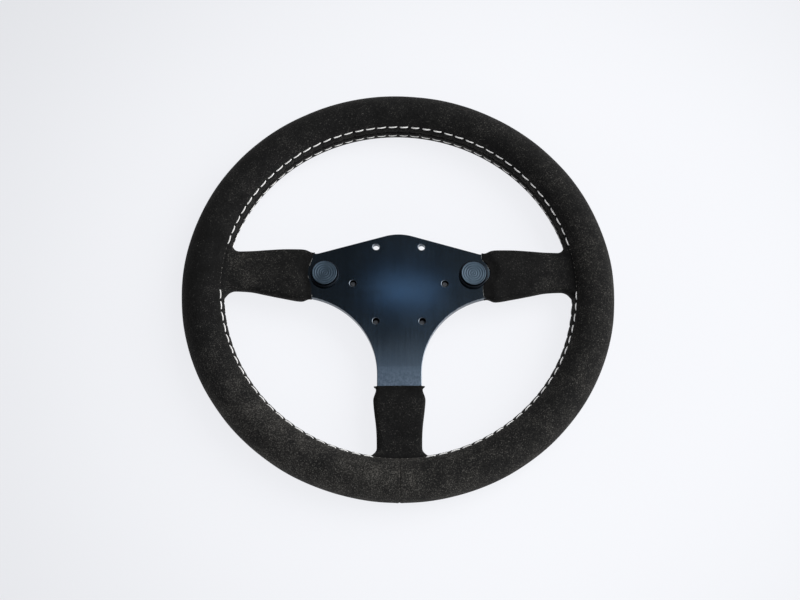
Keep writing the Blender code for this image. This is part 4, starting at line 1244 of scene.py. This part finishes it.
def terminal_blade(low, high, wide=2.8 * MM, thick=0.6 * MM, eye=0.65 * MM):
    """A solder tag: a flat blade with a rounded end and an eye for the wire."""
    outline = [(-wide / 2, high), (-wide / 2, low + wide / 2)]
    outline += arc((0, low + wide / 2), wide / 2, math.pi, 2 * math.pi, 10)[1:-1]
    outline += [(wide / 2, low + wide / 2), (wide / 2, high)]
    blade = extruded([(-thick / 2, y, z) for y, z in outline], (thick, 0, 0))
    hole = laid_down(rod(eye, -2 * MM, 2 * MM, 20))
    return cut(blade, moved(hole, (0, 0, low + wide / 2)))


def make_button(side, sign):
    at = (sign * BUTTON_X, BUTTON_Y, 0)
    moving = f"button_{side}"
    piece(f"push_cap_{side}", turned(cap_profile(), 96), CAP_FINISH, moving, "button_rubber",
          f"button_cap_{side}", smooth=35, at=at)
    piece(f"bezel_{side}", turned(bezel_profile(), 72, closed=True), BEZEL, "wheel",
          "black_anodised_hub", f"button_bush_{side}", smooth=35, at=at)
    low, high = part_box(f"panel_nut_{side}")
    piece(f"hex_nut_{side}", hexagon_nut(NUT_FLATS, low.z, high.z, NUT_BORE), ZINC, "wheel",
          "zinc_steel", f"panel_nut_{side}", smooth=25, at=at)
    low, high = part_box(f"button_spring_{side}")
    spring = piece(f"cap_spring_{side}", coil(CAP_SPRING_R, CAP_WIRE, low.z, high.z, 4),
                   SPRING_STEEL, "wheel", "black_steel", f"button_spring_{side}", smooth=60, at=at)
    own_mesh(spring)
    low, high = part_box(f"contact_bridge_{side}")
    bridge = softened(rectangle(BRIDGE_IN, BRIDGE_OUT, low.z, high.z), 0.25 * MM, 3, closed=True)
    piece(f"bridge_{side}", turned(bridge, 48, closed=True), BRASS, moving, "contact_brass",
          f"contact_bridge_{side}", smooth=35, at=at)
    low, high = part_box(f"switch_body_{side}")
    floor_z = low.z + SWITCH_FLOOR
    body = turned(softened([(0, low.z), (SWITCH_OUT, low.z), (SWITCH_OUT, high.z),
                            (SWITCH_IN, high.z), (SWITCH_IN, floor_z), (0, floor_z)],
                           0.4 * MM, 3), 48)
    for end in (-1, 1):
        slit = bmesh.new()
        bmesh.ops.create_cube(slit, size=1.0)
        bmesh.ops.scale(slit, verts=slit.verts, vec=SLIT_SIZE)
        body = cut(body, moved(slit, (end * SLIT_AT, 0, low.z)))
    piece(f"switch_{side}", body, SWITCH_PLASTIC, "wheel", "black_plastic",
          f"switch_body_{side}", smooth=35, at=at)
    for end in ("inner", "outer"):
        low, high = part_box(f"terminal_{side}_{end}")
        piece(f"tag_{side}_{end}", terminal_blade(low.z, high.z), BRASS, "wheel", "contact_brass",
              f"terminal_{side}_{end}", at=((low.x + high.x) / 2, (low.y + high.y) / 2, 0))


for side, sign in (("left", -1), ("right", 1)):
    make_button(side, sign)

# %% [markdown]
# ## Quick release coupling
# Behind the plate a ball lock coupling is screwed on with four screws. Pulling its collar
# towards the plate lets six steel balls move outwards, out of the groove in the shaft. The
# parts are turned, so they are spun profiles; lugs, splines and ball holes are cut with
# booleans as a mill would cut them. The grip's knurl is one small ridge that Geometry Nodes
# repeats round the collar.

# %% Hub body
FLANGE_R, BARREL_R, LUG_R = 27 * MM, 17.6 * MM, 7 * MM
BORE_R, BALL_Z = 14.8 * MM, 7.3 * MM
SPLINE_IN, SPLINE_OUT, SPLINE_TEETH = 12.4 * MM, 13.6 * MM, 12
SPLINE_LOW, SPLINE_HIGH = 10.2 * MM, 17 * MM
FLANGE_THICK, LUG_ROOT = 5 * MM, 12 * MM
CLIP_GROOVE_R, CLIP_GROOVE_LOW, CLIP_GROOVE_HIGH = 16.6 * MM, 1.2 * MM, 2.9 * MM
SCREW_HOLE_R, BALL_HOLE_R = 2.65 * MM, 2.3 * MM
HUB_ANGLES = (0, 180, 240, 300)     # the two holes at the top of the plate hold no screw


def make_hub():
    low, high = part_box("hub_body")
    top, bottom, flange = high.z, low.z, high.z - FLANGE_THICK
    outer = softened([(0, top), (FLANGE_R, top), (FLANGE_R, flange), (BARREL_R, flange)],
                     0.4 * MM, 2)
    groove = [(BARREL_R, CLIP_GROOVE_HIGH), (CLIP_GROOVE_R, CLIP_GROOVE_HIGH),
              (CLIP_GROOVE_R, CLIP_GROOVE_LOW), (BARREL_R, CLIP_GROOVE_LOW),
              (BARREL_R, bottom + 0.4 * MM), (BARREL_R - 0.4 * MM, bottom),
              (BORE_R + 0.6 * MM, bottom), (BORE_R, bottom + 0.6 * MM)]
    socket = [(BORE_R, SPLINE_LOW), (SPLINE_IN, SPLINE_LOW), (SPLINE_IN, SPLINE_HIGH),
              (0, SPLINE_HIGH)]
    hub = turned(outer + groove + socket, 96)
    for angle in HUB_ANGLES:
        tip = arc((BOLT_CIRCLE_R, 0), LUG_R, -math.pi / 2, math.pi / 2, 20)
        lug = [(LUG_ROOT, -1.3 * LUG_R)] + tip + [(LUG_ROOT, 1.3 * LUG_R)]
        hub = cut(hub, moved(upright_prism(lug, flange, top), turn=math.radians(angle)), 'UNION')
    for angle in HUB_ANGLES:
        a = math.radians(angle)
        hub = cut(hub, moved(rod(SCREW_HOLE_R, flange - 5 * MM, top + 5 * MM),
                             (BOLT_CIRCLE_R * math.cos(a), BOLT_CIRCLE_R * math.sin(a), 0)))
    grooves = []
    for tooth in range(SPLINE_TEETH):
        for radius, share in ((SPLINE_IN - 0.5 * MM, -0.3), (SPLINE_OUT, -0.2),
                              (SPLINE_OUT, 0.2), (SPLINE_IN - 0.5 * MM, 0.3)):
            a = (tooth + share) * 2 * math.pi / SPLINE_TEETH
            grooves.append((radius * math.cos(a), radius * math.sin(a)))
    hub = cut(hub, upright_prism(grooves, SPLINE_LOW - 1 * MM, SPLINE_HIGH - 0.3 * MM))
    for i in range(6):
        hole = laid_down(rod(BALL_HOLE_R, BORE_R - 2 * MM, BARREL_R + 2 * MM, 28))
        hub = cut(hub, moved(hole, (0, 0, BALL_Z), math.radians(60 * i)))
    return piece("coupling_body", hub, HUB_FINISH, "wheel", "black_anodised_hub", "hub_body")


hub = make_hub()
print("hub:", len(hub.data.polygons), "faces")


# %% Collar with its knurl
def make_knurl_tree(mat):
    tree, given = node_tree("knurl", [
        ("Count", "NodeSocketInt", 90), ("Radius", "NodeSocketFloat", 0.029),
        ("Ridge Radius", "NodeSocketFloat", 0.0007), ("Ridge Height", "NodeSocketFloat", 0.003),
        ("Middle Height", "NodeSocketFloat", 0.005)])
    circle = add_node(tree, "GeometryNodeCurvePrimitiveCircle", {
        "Resolution": given["Count"], "Radius": given["Radius"]})
    points = add_node(tree, "GeometryNodeCurveToPoints", {"Curve": circle}, mode='EVALUATED')
    lift = add_node(tree, "ShaderNodeCombineXYZ", {"Z": given["Middle Height"]})
    ridge = add_node(tree, "GeometryNodeMeshCylinder", {
        "Vertices": 8, "Radius": given["Ridge Radius"], "Depth": given["Ridge Height"]})
    copies = add_node(tree, "GeometryNodeInstanceOnPoints", {
        "Points": points.outputs["Points"], "Instance": ridge,
        "Rotation": points.outputs["Rotation"]})
    raised = add_node(tree, "GeometryNodeTranslateInstances", {
        "Instances": copies, "Translation": lift, "Local Space": False})
    end_tree(tree, raised.outputs[0], mat)
    return tree


COLLAR_R, GRIP_R, GRIP_HIGH = 25 * MM, 28.9 * MM, 4 * MM
COLLAR_BORE_R, BALL_POCKET_R, SPRING_SEAT_R = 18 * MM, 19.2 * MM, 21.5 * MM
POCKET_TOP, RAMP_TOP, SEAT_Z = 4.3 * MM, 7.3 * MM, 8.5 * MM

low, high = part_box("release_collar")
collar_profile = [
    (COLLAR_BORE_R, SEAT_Z), (COLLAR_BORE_R, RAMP_TOP), (BALL_POCKET_R, POCKET_TOP),
    (BALL_POCKET_R, low.z), (GRIP_R, low.z), (GRIP_R, low.z + GRIP_HIGH),
    (COLLAR_R, low.z + GRIP_HIGH + 1.2 * MM), (COLLAR_R, high.z), (SPRING_SEAT_R, high.z),
    (SPRING_SEAT_R, SEAT_Z)]
piece("sliding_collar", turned(softened(collar_profile, 0.35 * MM, 3, closed=True), 120,
                               closed=True),
      COLLAR_FINISH, "collar", "collar_anodised", "release_collar", smooth=35)
knurl = run_tree(make_knurl_tree(COLLAR_FINISH), {
    "Count": 96, "Radius": GRIP_R - 0.1 * MM, "Ridge Radius": 0.7 * MM, "Ridge Height": 2.9 * MM,
    "Middle Height": low.z + GRIP_HIGH / 2})
piece("collar_knurl", knurl, COLLAR_FINISH, "collar", "collar_anodised")
print("collar and its knurl")

# %% Spring, clip and balls
COLLAR_TRAVEL, COLLAR_COIL_R, COLLAR_WIRE = 3 * MM, 19.5 * MM, 0.5 * MM
CLIP_IN, CLIP_OUT, EYE_AT, EYE_R = 16.9 * MM, 20.6 * MM, 18.8 * MM, 0.85 * MM

low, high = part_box("collar_spring")
spring = piece("collar_coil", coil(COLLAR_COIL_R, COLLAR_WIRE, low.z, high.z, 2), SPRING_STEEL,
               "wheel", "black_steel", "collar_spring", smooth=60)
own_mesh(spring)

low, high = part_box("retaining_clip")
clip_section = softened(rectangle(CLIP_IN, CLIP_OUT, low.z, high.z), 0.2 * MM, 2, closed=True)
clip = turned(clip_section, 90, closed=True, turn=math.radians(338))
for degrees in (5, 333):
    a = math.radians(degrees)
    clip = cut(clip, moved(rod(EYE_R, 0, high.z + 2 * MM, 20),
                           (EYE_AT * math.cos(a), EYE_AT * math.sin(a), 0)))
piece("circlip", clip, SPRING_STEEL, "wheel", "black_steel", "retaining_clip", smooth=35)

for i in range(1, 7):
    low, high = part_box(f"locking_ball_{i}")
    radius = (high.z - low.z) / 2
    half_circle = arc((0, 0), radius, -math.pi / 2, math.pi / 2, 16)
    half_circle[0], half_circle[-1] = (0, -radius), (0, radius)
    piece(f"ball_piece_{i}", turned(half_circle, 32), BALL_STEEL, f"ball_{i}", "bearing_steel",
          f"locking_ball_{i}", smooth=60, at=(low + high) / 2)
print("clip, spring and six balls")


# %% Screws and washers
HEAD_R, HEAD_HIGH, HEX_FLATS, HEX_DEEP = 4.25 * MM, 5 * MM, 4 * MM, 2.5 * MM
SHANK_R, THREAD_DEEP, THREAD_PITCH, WASHER_R = 2.35 * MM, 0.35 * MM, 0.8 * MM, 5 * MM


def make_screw(number):
    low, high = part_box(f"hub_screw_{number}")
    at = ((low.x + high.x) / 2, (low.y + high.y) / 2, 0)
    head_top = low.z + HEAD_HIGH
    head = turned(softened(rectangle(0, HEAD_R, low.z, head_top), 0.5 * MM, 3), 48)
    head = cut(head, hexagon(HEX_FLATS, low.z - 1 * MM, low.z + HEX_DEEP))
    shank = threaded(SHANK_R, THREAD_DEEP, THREAD_PITCH, head_top - 0.2 * MM, high.z)
    piece(f"socket_screw_{number}", cut(head, shank, 'UNION'), BLACK_OXIDE, "wheel",
          "black_steel", f"hub_screw_{number}", at=at)
    low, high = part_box(f"hub_washer_{number}")
    piece(f"plain_washer_{number}", ring(SCREW_HOLE_R, WASHER_R, low.z, high.z, 0.2 * MM, 48),
          ZINC, "wheel", "zinc_steel", f"hub_washer_{number}", smooth=35, at=at)


for number in range(1, 5):
    make_screw(number)

# %% [markdown]
# ## Inside the rim
# The hoop, its rivets and the foam are right as the engineering model has them, so they stay
# and only take a finish.

# %% Finishes of the hidden pieces
for name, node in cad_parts.items():
    if name.startswith(("rim_hoop", "hoop_rivet", "rim_core")):
        node.data.materials.clear()
        node.data.materials.append(FOAM if name == "rim_core" else BARE)

# %% [markdown]
# ## Floor, light and camera
# The wheel lies on a pale light table, whose own glow keeps the shadows thin. A broad softbox
# at the upper right is the key, a weaker one fills from the 6 o'clock side, a strip overhead
# puts a cool sheen on the plate's lower arm, and a small lamp makes the blue glow in its middle.
# The camera stands a little to the left of the wheel's middle and looks down from the 6 o'clock
# side.

# %% Floor
def make_floor():
    """Milky acrylic over a light table: most of its white is its own glow, so shadows are thin."""
    mat, tree, shader, place = new_material(
        "milky_acrylic_light_table", Roughness=0.9, Specular_IOR_Level=0.2,
        Emission_Color=colour("#f4f5f9"), Emission_Strength=0.9)
    # The glow is strongest round a point near the middle and fades towards the edges: a painted pool
    # of light
    painted_light_pool = add_node(tree, "ShaderNodeMapping", {"Vector": place, "Location": (-0.09, 0, 0)})
    reach = add_node(tree, "ShaderNodeVectorMath", {0: painted_light_pool}, operation='LENGTH')
    glow = add_node(tree, "ShaderNodeMapRange", {
        "Value": reach.outputs["Value"], "From Min": 0.18, "From Max": 0.62, "To Min": 0.895,
        "To Max": 0.725}, interpolation_type='SMOOTHSTEP')
    tree.links.new(glow.outputs[0], shader.inputs["Emission Strength"])
    mottled(tree, shader, place, 0.6, (0.3, "#5f6061"), (0.7, "#626364"), detail=1)
    bm = bmesh.new()
    bmesh.ops.create_circle(bm, cap_ends=True, radius=4.0, segments=96)
    return finish_mesh("floor", bm, mat, 40)


shown("floor", make_floor())


# %% Lights
def softbox(name, place, aim, size, power, tint="#ffffff"):
    light = bpy.data.lights.new(name, 'AREA')
    light.shape = 'RECTANGLE'
    light.size, light.size_y = size
    light.energy = power
    light.color = colour(tint)[:3]
    obj = shown(name, light)
    obj.location = place
    obj.rotation_euler = (Vector(aim) - Vector(place)).to_track_quat('-Z', 'Y').to_euler()
    return obj


softbox("key_softbox", (1.5, 0.55, 1.5), (0, 0, 0), (1.6, 1.8), 36)
softbox("front_fill", (0.5, -1.7, 0.9), (0, 0, 0), (1.2, 0.8), 6)
softbox("overhead_strip", (0.14, 0.05, 1.5), (0.14, 0.05, 0), (0.54, 0.74), 1.7, "#f1f5ff")
softbox("lamp_above", (0.05, 0.567, 1.5), (0, 0.005, 0), (0.13, 0.04), 0.055, "#a4d0ff")


def make_world():
    """A white room that is brighter on the right, where its windows are."""
    world = bpy.data.worlds.new("studio_room")
    world.use_nodes = True
    tree = world.node_tree
    toward = add_node(tree, "ShaderNodeTexCoord").outputs["Generated"]
    sideways = add_node(tree, "ShaderNodeSeparateXYZ", {"Vector": toward}).outputs["X"]
    level = add_node(tree, "ShaderNodeMapRange", {
        "Value": sideways, "From Min": 0.02, "From Max": 0.4, "To Min": 0.15, "To Max": 0.78})
    back = tree.nodes["Background"]
    back.inputs["Color"].default_value = colour("#f5f7fb")
    tree.links.new(level.outputs[0], back.inputs["Strength"])
    bpy.context.scene.world = world


make_world()
bpy.context.scene.view_settings.view_transform = 'Standard'


# %% Camera
CAMERA_WAY, CAMERA_FAR = (-0.0212, -0.3683, 0.9295), 894.25 * MM    # from the plate's middle
ROLL, PAN, TILT = (math.radians(angle) for angle in (-0.22, 0.05, -0.85))


def place_camera():
    target = Vector((0, 0, PLATE_FRONT))
    back = Vector(CAMERA_WAY).normalized()
    ahead = -back
    right = ahead.cross(Vector((0, 1, 0))).normalized()
    up = right.cross(ahead)
    level = right * math.cos(ROLL) + up * math.sin(ROLL)
    above = up * math.cos(ROLL) - right * math.sin(ROLL)
    aim = (ahead + level * PAN + above * TILT).normalized()
    level = (level - aim * level.dot(aim)).normalized()
    above = level.cross(aim)
    data = bpy.data.cameras.new("camera")
    data.lens, data.sensor_width = 50, 36
    obj = shown("camera", data)
    turn = Matrix((level, above, -aim)).transposed().to_4x4()
    obj.matrix_world = Matrix.Translation(target + back * CAMERA_FAR) @ turn
    bpy.context.scene.camera = obj
    return obj


camera = place_camera()
print("camera at", [round(v / MM, 1) for v in camera.location])

# %% Finish
bpy.context.view_layer.update()
